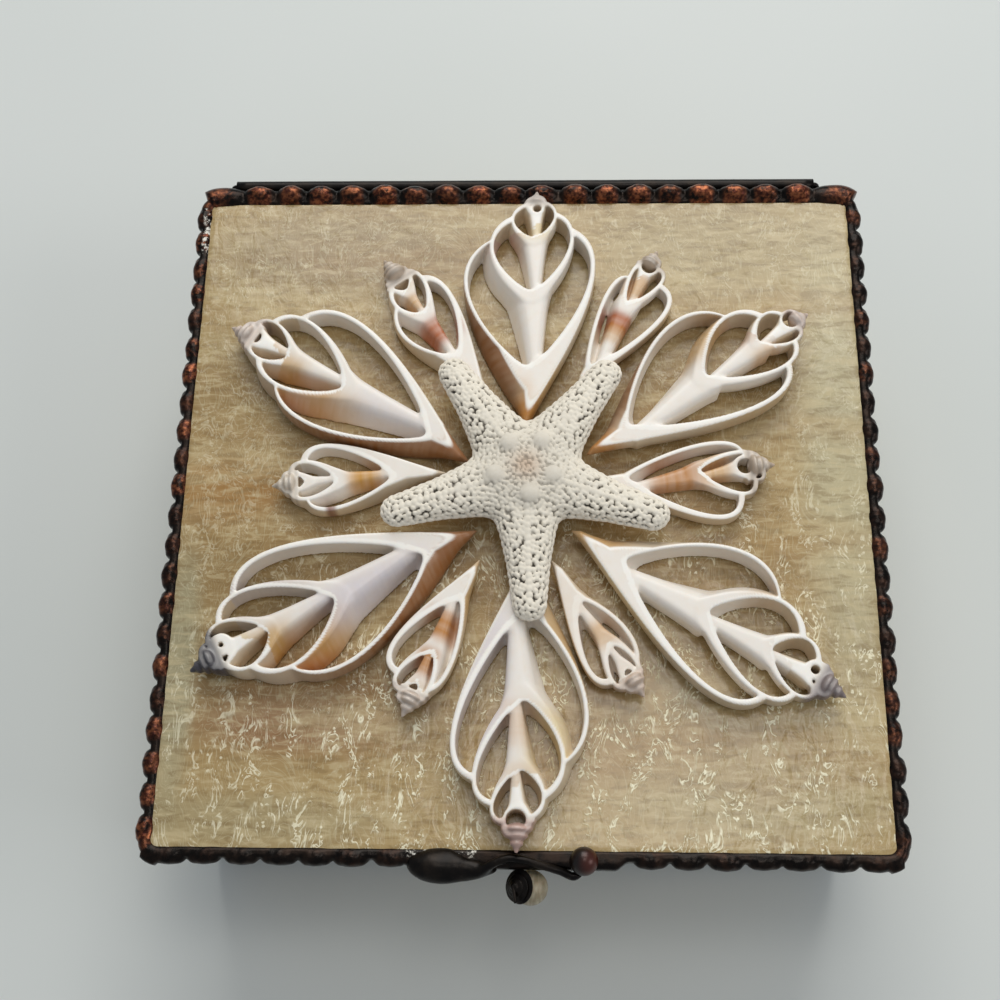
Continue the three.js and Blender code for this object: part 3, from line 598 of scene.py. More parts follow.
def lobe(u, start, peak, width, end, taper):
    """A whorl's radius along the shell's axis, widest at its peak"""
    part = (peak - start) / (end - start)
    rise = taper * part / (1 - part)
    share = (u - start) / (end - start)
    inside = np.clip(share, 1e-6, 1 - 1e-6)
    radius = width * inside ** rise * (1 - inside) ** taper / (part ** rise * (1 - part) ** taper)
    return np.where(share <= 0, u - start, np.where(share >= 1, end - u, radius))


def whorl_radius(shell, u, left_share, scale, inset, end, taper):
    sides = []
    for side in ("left", "right"):
        start, peak, width = (x * scale for x in shell[side])
        sides.append(lobe(u, start + CHAMBER_START * inset, peak, width - inset, end, taper))
    return sides[1] + (sides[0] - sides[1]) * left_share


def polar(v, h):
    """Distance from the axis, and how far a point is on the left side"""
    rho = np.sqrt(v * v + (h * FLATTENING) ** 2) + 1e-9
    return rho, smooth_step(0.5 + 0.5 * v / rho, 0, 1)


def outer_radius(shell, u, left_share, depth):
    """The outer whorl's radius. Its right side slopes in towards the cut where the wall is thick."""
    radius = whorl_radius(shell, u, left_share, 1, 0, shell["length"], TAPER_OUTER)
    chamber = whorl_radius(shell, u, left_share, 1, SHELL_WALL, shell["ends"][0], TAPER_CHAMBER)
    room = np.clip(radius - np.maximum(chamber, 0) - BEVEL_RIM, 0, BEVEL_LIMIT * shell["stem"])
    return radius - room * (1 - left_share) ** 0.5 * np.clip(1 - depth, 0, 1) ** 1.3


def level_sizes(shell, level):
    end = shell["ends"][level]
    scale = (end / shell["ends"][0]) ** GROWTH
    return end, scale, max(WALL_MIN, SHELL_WALL * math.sqrt(scale))


def void_field(shell, level, u, rho, left_share):
    end, scale, wall = level_sizes(shell, level)
    return 0.8 * (rho - whorl_radius(shell, u, left_share, scale, wall, end, TAPER_CHAMBER))


def column_field(shell, thickness, level, u, v, depth):
    """The tapering column between a chamber's end and the end of the one round it. Its right
    side slopes outwards below the cut."""
    end, scale, _ = level_sizes(shell, level)
    before = shell["ends"][level - 1]
    share = np.clip((u - end) / (before - end), 0, 1)
    middle = shell["lean"] * (end / 2 + (before - end / 2) * share)
    radius = shell["stem"] * math.sqrt(before / shell["ends"][0])
    half = radius * (COLUMN_FLARE + (COLUMN_TAPER - COLUMN_FLARE) * share ** COLUMN_GAIN)
    slope = FLANK_PER_STEM * shell["stem"] * scale * (1 - 0.85 * share) * depth
    sides = smooth_max(v - middle - half, middle - half - slope - v, 0.5 * radius)
    ends = np.maximum(end - 1.5 - u, u - before + 0.4)
    top = -depth * thickness
    return 0.85 * smooth_max(smooth_max(sides, top, COLUMN_ROUND * radius / COLUMN_ROUND_STEM), ends, 0.5)


def shell_field(shell, thickness):
    """The slice as a field: u along the axis from the apex, v to its left, h up from the axis"""
    ends, cut = shell["ends"], shell["cut"]

    def field(u, v, h):
        rho, left_share = polar(v, h)
        depth = (cut - h) / thickness
        solid = None
        for level in range(len(ends)):
            end, scale, wall = level_sizes(shell, level)
            outer_end = shell["length"] if level == 0 else end + GOBLET_FOOT * wall
            taper = TAPER_OUTER if level == 0 else TAPER_GOBLET
            radius = whorl_radius(shell, u, left_share, scale, 0, outer_end, taper)
            if level == 0:
                solid = 0.7 * (rho - outer_radius(shell, u, left_share, depth))
            else:
                start = shell["right"][0] * scale
                flank = FLANK_AT_START + (1 - FLANK_AT_START) * smooth_step(u, start, end)
                flank = flank * FLANK_PER_STEM * shell["stem"] * scale * np.clip(depth, 0, 1)
                outer = 0.75 * (rho - radius - flank * (1 - left_share) * (u < outer_end))
                solid = smooth_min(solid, outer, 0.4)
                column = column_field(shell, thickness, level, u, v, depth)
                solid = smooth_min(solid, column, 1.4 * scale + 0.3)
            solid = smooth_max(solid, -void_field(shell, level, u, rho, left_share), 0.3)
        reach = SPIRE_SHARE * ends[-1]
        ridges = RIDGE_HEIGHT * np.sin(2 * math.pi * u / RIDGE_PITCH) * smooth_step(u, 0.5, 2.5)
        cone = 0.85 * (rho - SPIRE_SLOPE * u - ridges)
        solid = smooth_min(solid, smooth_max(cone, u - reach, 0.5), 0.5)
        if "ring" in shell:
            ring_u, ring_v, ring_radius, ring_wall = shell["ring"]
            away = np.hypot(u - ring_u, v - ring_v)
            post = smooth_max(away - ring_radius - ring_wall, np.abs(h) - cut - 1, 0.3)
            solid = smooth_max(smooth_min(solid, post, 0.5), ring_radius - away, 0.25)
        solid = smooth_max(solid, h - cut, EDGE_ROUND)
        round_reach = SPIRE_ROUND_SHARE * ends[-1]
        tip = smooth_max(cone, 0.9 * (np.sqrt((u - round_reach + 2) ** 2 + rho ** 2) - 3.2), 0.6)
        solid = smooth_min(solid, np.where(u < round_reach - 2, cone, tip), 0.4)
        return smooth_max(solid, cut - thickness - h, EDGE_ROUND)
    return field


def shell_tints(shell, thickness, points, slope):
    """Colour of each point: white on the cut rims, warmer on the shell's own skin"""
    u, v, h = points.T
    rho, left_share = polar(v, h)
    up = slope[:, 2] / np.maximum(np.linalg.norm(slope, axis=1), 1e-9)
    depth = (shell["cut"] - h) / thickness
    skin = rho - outer_radius(shell, u, left_share, depth)
    outer = smooth_step(skin, -0.6, -0.2)
    near_void = np.full(len(points), -9.0)
    on_column = np.full(len(points), 9.0)
    for level in range(len(shell["ends"])):
        _, _, wall = level_sizes(shell, level)
        gap = void_field(shell, level, u, rho, left_share) / 0.8
        near_void = np.maximum(near_void, np.where(gap > -0.2, 1.3 * wall - gap, -9))
        if level > 0:
            on_column = np.minimum(on_column, column_field(shell, thickness, level, u, v, depth))
    rim = smooth_step(near_void, 0, 0.35) * np.where(on_column < 0.4, near_void > 0.4, 1)
    rim = np.maximum(rim, outer)
    on_cut = smooth_step(h, shell["cut"] - 0.4, shell["cut"] - 0.1) * smooth_step(up, 0.5, 0.9) * rim
    colour = np.tile(rgb("f1eae0"), (len(points), 1))
    colour = colour * (1 - outer[:, None]) + rgb("dfcfb6") * outer[:, None]
    lines = 0.5 + 0.5 * value_noise(np.stack([u * 3, v * 0.4, h * 0.4], 1), 1.6, 5)
    tip_end = SPIRE_SHARE * shell["ends"][-1]
    tip = (smooth_step(-u, -tip_end - 1.5, -tip_end + 1) * np.maximum(outer, u < tip_end * 0.9))[:, None]
    stripes = 0.84 + 0.16 * np.sin(2 * math.pi * u / RIDGE_PITCH)
    colour = colour * (1 - tip) + rgb(shell["spire"]) * stripes[:, None] * tip
    rim_colour = np.tile(rgb("faf6ee"), (len(points), 1))
    for where, at_u, at_v, half_length, half_width, code, strength in shell["tints"]:
        near = np.exp(-((u - at_u) / half_length) ** 4 - ((v - at_v) / half_width) ** 4)
        surface = {"outer": outer, "inner": 1 - outer, "all": np.ones(len(points))}[where]
        share = (near * strength * surface * (0.75 + 0.25 * lines))[:, None]
        colour = colour * (1 - share) + rgb(code) * share
        if where == "all":
            rim_colour = rim_colour * (1 - share) + rgb(code) * share
    on_cut = on_cut[:, None] * (1 - 0.8 * tip)
    return colour * (1 - on_cut) + rim_colour * on_cut


def build_shell(name, shell):
    large = name.startswith("large")
    thickness = LARGE_THICKNESS if large else SMALL_THICKNESS
    field = shell_field(shell, thickness)
    wide = max(shell["left"][2], shell["right"][2]) + 1.5
    low = (-1.5, -wide, shell["cut"] - thickness - 1)
    high = (shell["length"] + 1.5, wide, shell["cut"] + 3)
    points, quads = surface_of(field, low, high, LARGE_VOXEL if large else SMALL_VOXEL)
    _, slope = value_and_slope(field, points)
    tints = shell_tints(shell, thickness, points, slope)
    turn = math.atan2(shell["aim"][1] - shell["apex"][1], shell["aim"][0] - shell["apex"][0])
    u, v, h = points.T
    x = shell["apex"][0] + u * math.cos(turn) - v * math.sin(turn)
    y = shell["apex"][1] + u * math.sin(turn) + v * math.cos(turn)
    z = GLUE + thickness - shell["cut"] + h
    placed = np.stack([x, y, z], 1) + LID
    make_piece(f"{name}_slice", placed, quads, SHELL, "lid", [name], {"tint": tints})


for shell_name, shell_sizes in SHELLS.items():
    build_shell(shell_name, shell_sizes)

# Starfish: five arms with a row of margin plates, granules over the rest, and smooth knobs
STAR_CENTRE = (0.6, 3)
STAR_VOXEL = 0.25
STAR_DISC = (11.5, 4.7)
STAR_ARMS = [(-88, 32.1), (-18, 31.7), (54, 32.8), (123.5, 32.3), (196.5, 31.9)]
STAR_WIDTHS = ((0, 12, 20, 32), (7.5, 6.2, 4.6, 3.2))
STAR_HEIGHTS = ((0, 12, 32), (4.6, 4.3, 2.9))
STAR_KNOBS = [(-3.6, 6.2, 2.4), (3.4, 6.7, 2.3), (5.9, -1.1, 2.2), (-6.6, -1.1, 2.4), (0.9, -5.6, 2.6)]
KNOB_LEVEL = 3.6
ARM_SQUARENESS = 2.4
ARM_KNOB_AT = 14.5
ARM_KNOB_STRENGTH = 0.45
PLATE_RADIUS = 0.9
RIDGE_RADIUS = 0.72
GRANULE_TRIES = 24000
GRANULE_GAP = 0.78
GRANULE_DOME = 0.36
SKIN_DEPTH = 0.12
PIT_DEPTH = 0.5


def arm_parts(x, y, angle):
    turn = math.radians(angle)
    return x * math.cos(turn) + y * math.sin(turn), -x * math.sin(turn) + y * math.cos(turn)


def star_field(x, y, z):
    disc, disc_height = STAR_DISC
    solid = (np.sqrt((np.hypot(x, y) / disc) ** 2 + (z / disc_height) ** 2) - 1) * disc_height
    for angle, length in STAR_ARMS:
        along, across = arm_parts(x, y, angle)
        spot = np.clip(along, 0, length - STAR_WIDTHS[1][-1])
        width = np.interp(spot, *STAR_WIDTHS)
        height = np.interp(spot, *STAR_HEIGHTS)
        away = np.hypot(along - spot, across)
        arm = (away / width) ** ARM_SQUARENESS + (np.abs(z) / height) ** ARM_SQUARENESS
        solid = smooth_min(solid, (arm ** (1 / ARM_SQUARENESS) - 1) * height, 1.6)
    for at_x, at_y, radius in STAR_KNOBS:
        knob = ellipsoid(x, y, z, (at_x, at_y, KNOB_LEVEL), (radius, radius, radius * 0.9))
        solid = smooth_min(solid, knob, 1.2)
    return smooth_max(solid, 0.3 - z, 0.3)


def star_granules(skin):
    """Granule centres with radii: plates along the margins and a row on each ridge first, then a
    close packing over the rest of the skin"""
    rng = np.random.default_rng(11)
    wanted = []
    for angle, length in STAR_ARMS:
        turn = math.radians(angle)
        end = length - STAR_WIDTHS[1][-1]
        for tilt in (-84, 84, 0):
            radius = PLATE_RADIUS if tilt else RIDGE_RADIUS
            for along in np.arange(7.0, end + 1, 1.9 * radius):
                spot = min(along, end)
                lift = math.radians(tilt)
                out = np.interp(spot, *STAR_WIDTHS) * math.sin(lift)
                high = np.interp(spot, *STAR_HEIGHTS) * max(0.2, math.cos(lift))
                wanted.append((along * math.cos(turn) - out * math.sin(turn),
                               along * math.sin(turn) + out * math.cos(turn), high, radius))
        for lean in np.linspace(-80, 80, 7):
            bend = turn + math.radians(lean)
            reach = STAR_WIDTHS[1][-1]
            wanted.append((end * math.cos(turn) + reach * math.cos(bend),
                           end * math.sin(turn) + reach * math.sin(bend), 0.9, PLATE_RADIUS))
    wanted = np.array(wanted)
    spots = wanted[:, :3]
    for _ in range(6):
        value, slope = value_and_slope(star_field, spots)
        steepness = np.maximum((slope ** 2).sum(1), 0.1)[:, None]
        spots = spots - np.clip(value, -0.8, 0.8)[:, None] * slope / steepness
    chosen = rng.permutation(len(skin))[:GRANULE_TRIES]
    small = smooth_step(np.hypot(skin[chosen, 0], skin[chosen, 1]), 3, 12)
    spots = np.vstack([spots, skin[chosen]])
    radii = np.append(wanted[:, 3], (0.38 + 0.13 * small) * rng.uniform(0.92, 1.08, len(chosen)))
    usable = (spots[:, 2] > 0.25) & (on_knob(spots) < 0.5)
    spots, radii = spots[usable], radii[usable]
    kept = np.empty_like(spots)
    kept_radii = np.empty(len(radii))
    count = 0
    for spot, radius in zip(spots, radii):
        gaps = ((kept[:count] - spot) ** 2).sum(1)
        if (gaps < (GRANULE_GAP * (kept_radii[:count] + radius)) ** 2).any():
            continue
        kept[count] = spot
        kept_radii[count] = radius
        count += 1
    return kept[:count], kept_radii[:count]


def on_knob(points):
    """How far each point lies on a smooth knob, from 0 to 1"""
    share = np.zeros(len(points))
    for at_x, at_y, radius in STAR_KNOBS:
        away = np.hypot(points[:, 0] - at_x, points[:, 1] - at_y)
        share = np.maximum(share, 1 - smooth_step(away, radius * 0.72, radius * 1.02))
    for angle, _ in STAR_ARMS:
        along, across = arm_parts(points[:, 0], points[:, 1], angle)
        away = np.hypot(along - ARM_KNOB_AT, across)
        share = np.maximum(share, ARM_KNOB_STRENGTH * (1 - smooth_step(away, 1.2, 2.2)))
    return share


def build_starfish():
    low = (-36, -36, -0.6)
    high = (36, 36, 7)
    points, quads = surface_of(star_field, low, high, STAR_VOXEL)
    _, slope = value_and_slope(star_field, points)
    normals = slope / np.linalg.norm(slope, axis=1)[:, None]
    centres, radii = star_granules(points)
    tree = kdtree.KDTree(len(centres))
    for index, centre in enumerate(centres):
        tree.insert(centre, index)
    tree.balance()
    ratio = np.full(len(points), 3.0)
    size = np.full(len(points), 0.6)
    for index, point in enumerate(points):
        for _, found, gap in tree.find_n(point, 2):
            if gap / radii[found] < ratio[index]:
                ratio[index] = gap / radii[found]
                size[index] = radii[found]
    knob = on_knob(points)
    covered = smooth_step(points[:, 2], 0.2, 0.9) * (1 - knob)
    dome = size * GRANULE_DOME * np.sqrt(np.clip(1 - ratio ** 2, 0, 1))
    pit = smooth_step(ratio, 1.08, 1.38)
    patchy = 0.45 + 0.55 * smooth_step(np.hypot(points[:, 0], points[:, 1]), 7, 15)
    depth = SKIN_DEPTH + pit * PIT_DEPTH * patchy
    lift = covered * (dome - depth) + 0.06 * value_noise(points, 1.1, 4)
    shaped = points + normals * lift[:, None]
    shaped[:, 2] = np.maximum(shaped[:, 2], 0)
    tint = np.tile(rgb("f4ecdc"), (len(points), 1))
    rosy = np.exp(-(np.hypot(points[:, 0], points[:, 1] - 0.8) / 3.2) ** 2)[:, None] * 0.6
    tint = tint * (1 - rosy) + rgb("e3bd9c") * rosy
    tint = tint * (1 - 0.25 * knob[:, None]) + rgb("dfd8cc") * 0.25 * knob[:, None]
    # Painted shade: the centre is darker, standing in for the shade between its close granules
    tint = tint * (1 - 0.17 * np.exp(-(np.hypot(points[:, 0], points[:, 1]) / 12) ** 2))[:, None]
    # Painted shade: the gaps between the granules are coloured near black, as shade falls in them
    dark = (covered * pit * patchy)[:, None]
    tint = tint * (1 - dark) + rgb("3a3227") * dark
    base = LID + [*STAR_CENTRE, LARGE_THICKNESS + 2 * GLUE]
    make_piece("starfish_body", shaped + base, quads, STAR, "lid", ["starfish"],
               {"tint": tint})


build_starfish()


# Glass panes: a fine grid on both faces, with ripples that stay inside the pane
def build_pane(node, name, body, material, step, ripple, seed):
    low, high = box_mm(node)
    thin = int(np.argmin(high - low))
    wide = [axis for axis in range(3) if axis != thin]
    counts = [max(2, int(round((high[a] - low[a]) / step)) + 1) for a in wide]
    first = np.linspace(low[wide[0]], high[wide[0]], counts[0])
    second = np.linspace(low[wide[1]], high[wide[1]], counts[1])
    a, b = np.meshgrid(first, second, indexing="ij")
    points = []
    for face, level in enumerate((low[thin], high[thin])):
        grid = np.zeros((a.size, 3))
        grid[:, wide[0]] = a.ravel()
        grid[:, wide[1]] = b.ravel()
        flow = grid * np.where(np.arange(3) == wide[0], 0.7, 1.0)
        waves = 0.6 * value_noise(flow, 5.2, seed + face) + 0.4 * value_noise(flow, 2.1, seed + 2 + face)
        edge = np.minimum.reduce([a - first[0], first[-1] - a, b - second[0], second[-1] - b]).ravel()
        inward = 0.5 * ripple * (1 + waves) + 0.35 * (1 - smooth_step(edge, 0, 0.8))
        grid[:, thin] = level + inward * (1 if face == 0 else -1)
        points.append(grid)
    rows, columns = counts
    index = np.arange(rows * columns).reshape(rows, columns)
    cells = np.stack([index[:-1, :-1], index[1:, :-1], index[1:, 1:], index[:-1, 1:]], -1).reshape(-1, 4)
    turned = cells[:, ::-1]
    flip = thin == 1
    faces = [cells if flip else turned, (turned if flip else cells) + rows * columns]
    border = np.concatenate([index[:-1, 0], index[-1, :-1], index[:0:-1, -1], index[0, :0:-1]])
    after = np.roll(border, -1)
    edges = np.stack([border, after, after + rows * columns, border + rows * columns], -1)
    faces.append(edges if not flip else edges[:, ::-1])
    make_piece(name, np.vstack(points), np.vstack(faces), material, body, [node])


build_pane("lid_glass", "lid_pane", "lid", GLASS, 1.0, 0.1, 20)
build_pane("floor_glass", "floor_pane", "base", GLASS, 3.0, 0.1, 24)
for number, side_name in enumerate(("front", "back", "left", "right")):
    build_pane(f"{side_name}_glass", f"{side_name}_pane", "base", WALL_GLASS, 1.3, 0.12, 30 + 5 * number)

# Lid rim: a channel round the pane with a row of beads fused to its top and outside. It is a
# skin of rings round a spine that follows the pane's edge.
RIM_LOW, RIM_HIGH = box_mm("lid_beaded_rim")
RIM_COVER = 1.2
RIM_BOTTOM = RIM_LOW[2] - LID[2]
RIM_REACH = RIM_HIGH[0] - LID[0]
RIM_REACH_BACK = PANE_HALF + 4.5
RIM_OUTER = PANE_HALF + 1.4
RIM_MIDDLE = (RIM_BOTTOM + RIM_HIGH[2] - LID[2]) / 2
BEAD_PITCH_SIDE = 6.8
BEAD_PITCH_ENDS = 7.75
CORNER_BEAD = 6.4
PULL_LEFT = -24
PULL_RIGHT = 19
SPINE = PANE_HALF + 0.3
SPINE_HEIGHT = -1.5
CORNER_RADIUS = 2.8
CORE_OUT = 0.85
CORE_OUT_BACK = 3.2
CORE_OUT_GAP = 2.5
CORE_UP = 1.85
CORE_SQUARENESS = 4
RIM_SIDES = 24
RIM_STEP = 0.36
CROWN_AT = 75
CROWN_SPREAD = 85
BEAD_INSET = 0.12
BEAD_ARC_HEIGHT = 0.09
BEAD_ARCS = 14
FLUX_AT_PULL = (-23, -9)
FLUX_AT_LEFT = 62
FRONT, RIGHT, BACK, LEFT = range(4)
BEAD_OUT = {FRONT: 0.75, RIGHT: 0.65, BACK: 1.7, LEFT: 0.65}
BEAD_TOP = {FRONT: 0.9, RIGHT: 1.0, BACK: 2.7, LEFT: 1.1}
COPPER = {FRONT: 0.04, RIGHT: 0.3, BACK: 1.0, LEFT: 0.9}
CORNER_HALF = {FRONT: 4.6, RIGHT: 4.0, BACK: 9.0, LEFT: 4.0}
CORNER_OUT = {FRONT: 0.5, RIGHT: 0.5, BACK: 1.3, LEFT: 0.5}
CORNER_INSET = {FRONT: 0.9, RIGHT: 0.9, BACK: 0.25, LEFT: 0.9}
# Each side's directions: outwards, and along it round the box
SIDE_WAYS = {
    FRONT: ((0, -1), (1, 0)), RIGHT: ((1, 0), (0, 1)),
    BACK: ((0, 1), (-1, 0)), LEFT: ((-1, 0), (0, -1)),
}


def rim_beads(side):
    """Beads of one side: place along it, half length, size and copper"""
    rng = np.random.default_rng(5 + side)
    pitch = BEAD_PITCH_ENDS if side in (FRONT, BACK) else BEAD_PITCH_SIDE
    room = PANE_HALF - RIM_COVER - CORNER_BEAD / 2
    count = round(2 * room / pitch)
    beads = []
    for i in range(count + 1):
        place = -room + 2 * room * i / count
        if side == FRONT and PULL_LEFT <= place <= PULL_RIGHT:
            continue
        if side == BACK and i in (0, count):
            continue
        copper = COPPER[side] * (rng.uniform(0.5, 1.2) if side == BACK or rng.uniform() < 0.45 else 0.2)
        beads.append((place + rng.uniform(-0.35, 0.35), pitch * rng.uniform(0.48, 0.54),
                      rng.uniform(0.86, 1.0), copper))
    return beads


def bead_section(out_way, up_way, out, top, reach, grow):
    """Distance from the spine to a bead's skin in each direction round it"""
    half_out = (reach - PANE_HALF - out) * grow
    half_up = (top - RIM_BOTTOM - 0.25) / 2 * grow
    shift_out = PANE_HALF + out - SPINE
    shift_up = (top + RIM_BOTTOM + 0.25) / 2 - SPINE_HEIGHT
    a = (out_way / half_out) ** 2 + (up_way / half_up) ** 2
    b = -2 * (out_way * shift_out / half_out ** 2 + up_way * shift_up / half_up ** 2)
    c = (shift_out / half_out) ** 2 + (shift_up / half_up) ** 2 - 1
    root = b * b - 4 * a * c
    return np.where(root > 0, (np.sqrt(np.maximum(root, 0)) - b) / (2 * a), 0)


def build_rim():
    turns = np.linspace(0, 2 * math.pi, RIM_SIDES, endpoint=False)
    out_way, up_way = np.cos(turns), np.sin(turns)
    power = CORE_SQUARENESS
    upward = np.where(up_way > 0, up_way / CORE_UP, up_way / (RIM_BOTTOM - SPINE_HEIGHT))
    crown = 1.3 - ((turns - math.radians(CROWN_AT)) / math.radians(CROWN_SPREAD)) ** 2
    crown = np.clip(crown, 0, 1)
    straight = SPINE - CORNER_RADIUS
    arc = np.linspace(0, math.pi / 2, 11)[1:-1]
    steps = round(2 * straight / RIM_STEP)
    beads = {side: rim_beads(side) for side in SIDE_WAYS}
    rings, crests, coppers, fluxes = [], [], [], []

    def station(side, place, from_corner, out_dir, spot):
        """Adds the ring at one spot of the spine, widened by the bead or corner lump there"""
        reach = RIM_REACH_BACK if side == BACK else RIM_REACH
        wide = CORE_OUT + (CORE_OUT_BACK - CORE_OUT) * (side == BACK) * smooth_step(from_corner, 0, 6)
        if side == FRONT:
            at_gap = smooth_step(place, PULL_LEFT - 2, PULL_LEFT + 3)
            at_gap = at_gap * (1 - smooth_step(place, PULL_RIGHT, PULL_RIGHT + 3))
            wide = CORE_OUT + (CORE_OUT_GAP - CORE_OUT) * at_gap
        outward = np.where(out_way > 0, out_way / wide, -out_way / (SPINE - PANE_HALF + RIM_COVER))
        radius = (outward ** power + upward ** power) ** (-1 / power)
        crest = np.zeros(len(turns))
        tone = 0.0
        for at, half, size, copper in beads[side]:
            offset = (place - at) / half
            if from_corner < 2 or abs(offset) >= 1:
                continue
            grow = math.sqrt(1 - offset * offset) * size
            skin = bead_section(out_way, up_way, BEAD_OUT[side], BEAD_TOP[side],
                                reach - BEAD_INSET, grow)
            arcs = BEAD_ARC_HEIGHT * grow * np.cos(BEAD_ARCS * np.hypot(offset, 0.6 * np.cos(turns)))
            radius = smooth_max(radius, skin + arcs * (up_way > -0.2) - 0.05, 0.3)
            crest = np.maximum(crest, crown * (1 - offset * offset * 1.3))
            tone = copper
        offset = from_corner / CORNER_HALF[side]
        if offset < 1:
            grow = (1 - offset ** 4) ** 0.5
            skin = bead_section(out_way, up_way, CORNER_OUT[side], 0.2 + 0.5 * BEAD_TOP[side],
                                reach - CORNER_INSET[side], grow)
            radius = smooth_max(radius, skin, 0.3)
            crest = np.maximum(crest, crown * (1 - offset))
            tone = max(tone, COPPER[side] * 0.6)
        rings.append(np.append(spot, SPINE_HEIGHT) + np.stack(
            [out_dir[0] * out_way, out_dir[1] * out_way, up_way], 1) * radius[:, None])
        crests.append(crest)
        coppers.append(np.full(len(turns), tone))
        at_pull = side == FRONT and FLUX_AT_PULL[0] < place < FLUX_AT_PULL[1]
        at_left = side == LEFT and place > FLUX_AT_LEFT
        fluxes.append((up_way > 0.2) * (out_way < 0.1) * float(at_pull or at_left))

    for side, (out_dir, forward) in SIDE_WAYS.items():
        out_dir, forward = np.array(out_dir, float), np.array(forward, float)
        half_arc = CORNER_RADIUS * math.pi / 4
        for along in np.linspace(-straight, straight, steps):
            sign = 1 if side in (FRONT, RIGHT) else -1
            from_corner = straight - abs(along) + half_arc
            station(side, sign * along, from_corner, out_dir, out_dir * SPINE + forward * along)
        corner = out_dir * straight + forward * straight
        for turn in arc:
            way = out_dir * math.cos(turn) + forward * math.sin(turn)
            near = side if turn < math.pi / 4 else (side + 1) % 4
            from_corner = abs(turn - math.pi / 4) * CORNER_RADIUS
            station(near, 0, from_corner, way, corner + way * CORNER_RADIUS)
    points, faces = loft(np.array(rings) + LID, closed_path=True)
    centre = np.repeat(np.mean(rings, axis=1) + LID, len(turns), axis=0)
    away = points - centre
    away /= np.linalg.norm(away, axis=1)[:, None]
    points = points + away * (0.09 * value_noise(points, 2.4, 8) - 0.08)[:, None]
    make_piece("rim_with_beads", points, faces, RIM, "lid", ["lid_beaded_rim"],
               {"crest": np.concatenate(crests), "copper": np.concatenate(coppers),
                "flux": np.concatenate(fluxes).astype(float)})


build_rim()


# Base solder: soft, slightly wavy bands over the channels
BAND_WALL = 4.1
BAND_CORNER = 1.6
BAND_STEPS = 150
BAND_SQUARENESS = 5


def build_band(node, name):
    low, high = box_mm(node)
    middle = (low + high) / 2
    halves = (high - low) / 2
    turns = np.linspace(0, 2 * math.pi, 16, endpoint=False)
    power = BAND_SQUARENESS
    radius = (np.abs(np.cos(turns) / (BAND_WALL / 2)) ** power
              + np.abs(np.sin(turns) / halves[2]) ** power) ** (-1 / power)
    spine = halves[:2] - BAND_WALL / 2
    rings = []

    def ring(spot, out_dir):
        points = np.zeros((len(turns), 3))
        points[:, :2] = middle[:2] + spot + (np.cos(turns) * radius)[:, None] * out_dir
        points[:, 2] = middle[2] + np.sin(turns) * radius
        rings.append(points)

    for out_dir, forward in SIDE_WAYS.values():
        out_dir, forward = np.array(out_dir, float), np.array(forward, float)
        half_run = abs(forward @ spine) - BAND_CORNER
        reach = abs(out_dir @ spine)
        for place in np.linspace(-half_run, half_run, BAND_STEPS):
            ring(out_dir * reach + forward * place, out_dir)
        for turn in np.linspace(0, math.pi / 2, 6)[1:-1]:
            way = out_dir * math.cos(turn) + forward * math.sin(turn)
            ring(out_dir * (reach - BAND_CORNER) + forward * half_run + way * BAND_CORNER, way)
    points, faces = loft(np.array(rings), closed_path=True)
    centre = np.repeat(np.mean(rings, axis=1), len(turns), axis=0)
    away = points - centre
    size = np.linalg.norm(away, axis=1)[:, None]
    points = centre + away * (1 - 0.05 / size * (1 + value_noise(points, 6, 50)[:, None]))
    make_piece(name, points, faces, PATINA, "base", [node])


build_band("top_channel", "top_solder")
build_band("bottom_channel", "bottom_solder")
for corner_name in ("front_left", "front_right", "back_left", "back_right"):
    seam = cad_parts[f"seam_{corner_name}"]
    seam.data.materials.clear()
    seam.data.materials.append(PATINA)


# Hinge: a thin tube behind the rim and the wire that runs through it
TUBE_BORE_RADIUS = 1.1
TUBE_SKIN = 0.08
TUBE_SIDES = 24
HINGE_WIRE_RADIUS = 0.74
LEG_FROM_TUBE = 1.05


def build_hinge():
    low, high = box_mm("hinge_tube")
    _, y, z = (low + high) / 2
    bore = TUBE_BORE_RADIUS
    outer = (high[2] - low[2]) / 2 - TUBE_SKIN
    sides = TUBE_SIDES
    turns = np.linspace(0, 2 * math.pi, sides, endpoint=False)
    span = np.linspace(low[0], high[0], 60)
    rings = []
    for x, radius in [(x, outer) for x in span] + [(span[-1], bore), (span[0], bore)]:
        ring = np.stack([np.full(sides, x), 4 * np.cos(turns), 4 * np.sin(turns)], 1)
        size = radius + (0.03 * value_noise(ring, 5, 60) if radius == outer else 0)
        across, up = y + size * np.cos(turns), z + size * np.sin(turns)
        rings.append(np.stack([np.full(sides, x), across, up], 1))
    points, faces = loft(np.array(rings)[:, ::-1], closed_path=True)
    make_piece("hinge_tube_round", points, faces, PATINA, "lid", ["hinge_tube"])

    wire_low, wire_high = box_mm("hinge_wire")
    radius = HINGE_WIRE_RADIUS
    foot_y = wire_low[1] + radius
    under = box_mm("top_channel")[1][2] - 1.5
    bottom = wire_low[2]
    ends = []
    legs = ((low[0] - LEG_FROM_TUBE, wire_low[0] + radius, 1),
            (high[0] + LEG_FROM_TUBE, wire_high[0] - radius, -1))
    for leg, foot, inward in legs:
        ends.append([
            (foot, foot_y, bottom), (foot, foot_y, under - 7.5),
            ((leg + foot) / 2, (y + foot_y) / 2, under - 4.5), (leg, y, under), (leg, y, z - 1.2),
            (leg + 0.4 * inward, y, z - 0.25), (leg + 1.6 * inward, y, z),
        ])
    points, faces = loft(tube_rings(ends[0] + ends[1][::-1], radius, 260, 12))
    make_piece("hinge_wire_round", points, faces, PATINA, "base", ["hinge_wire"])


build_hinge()

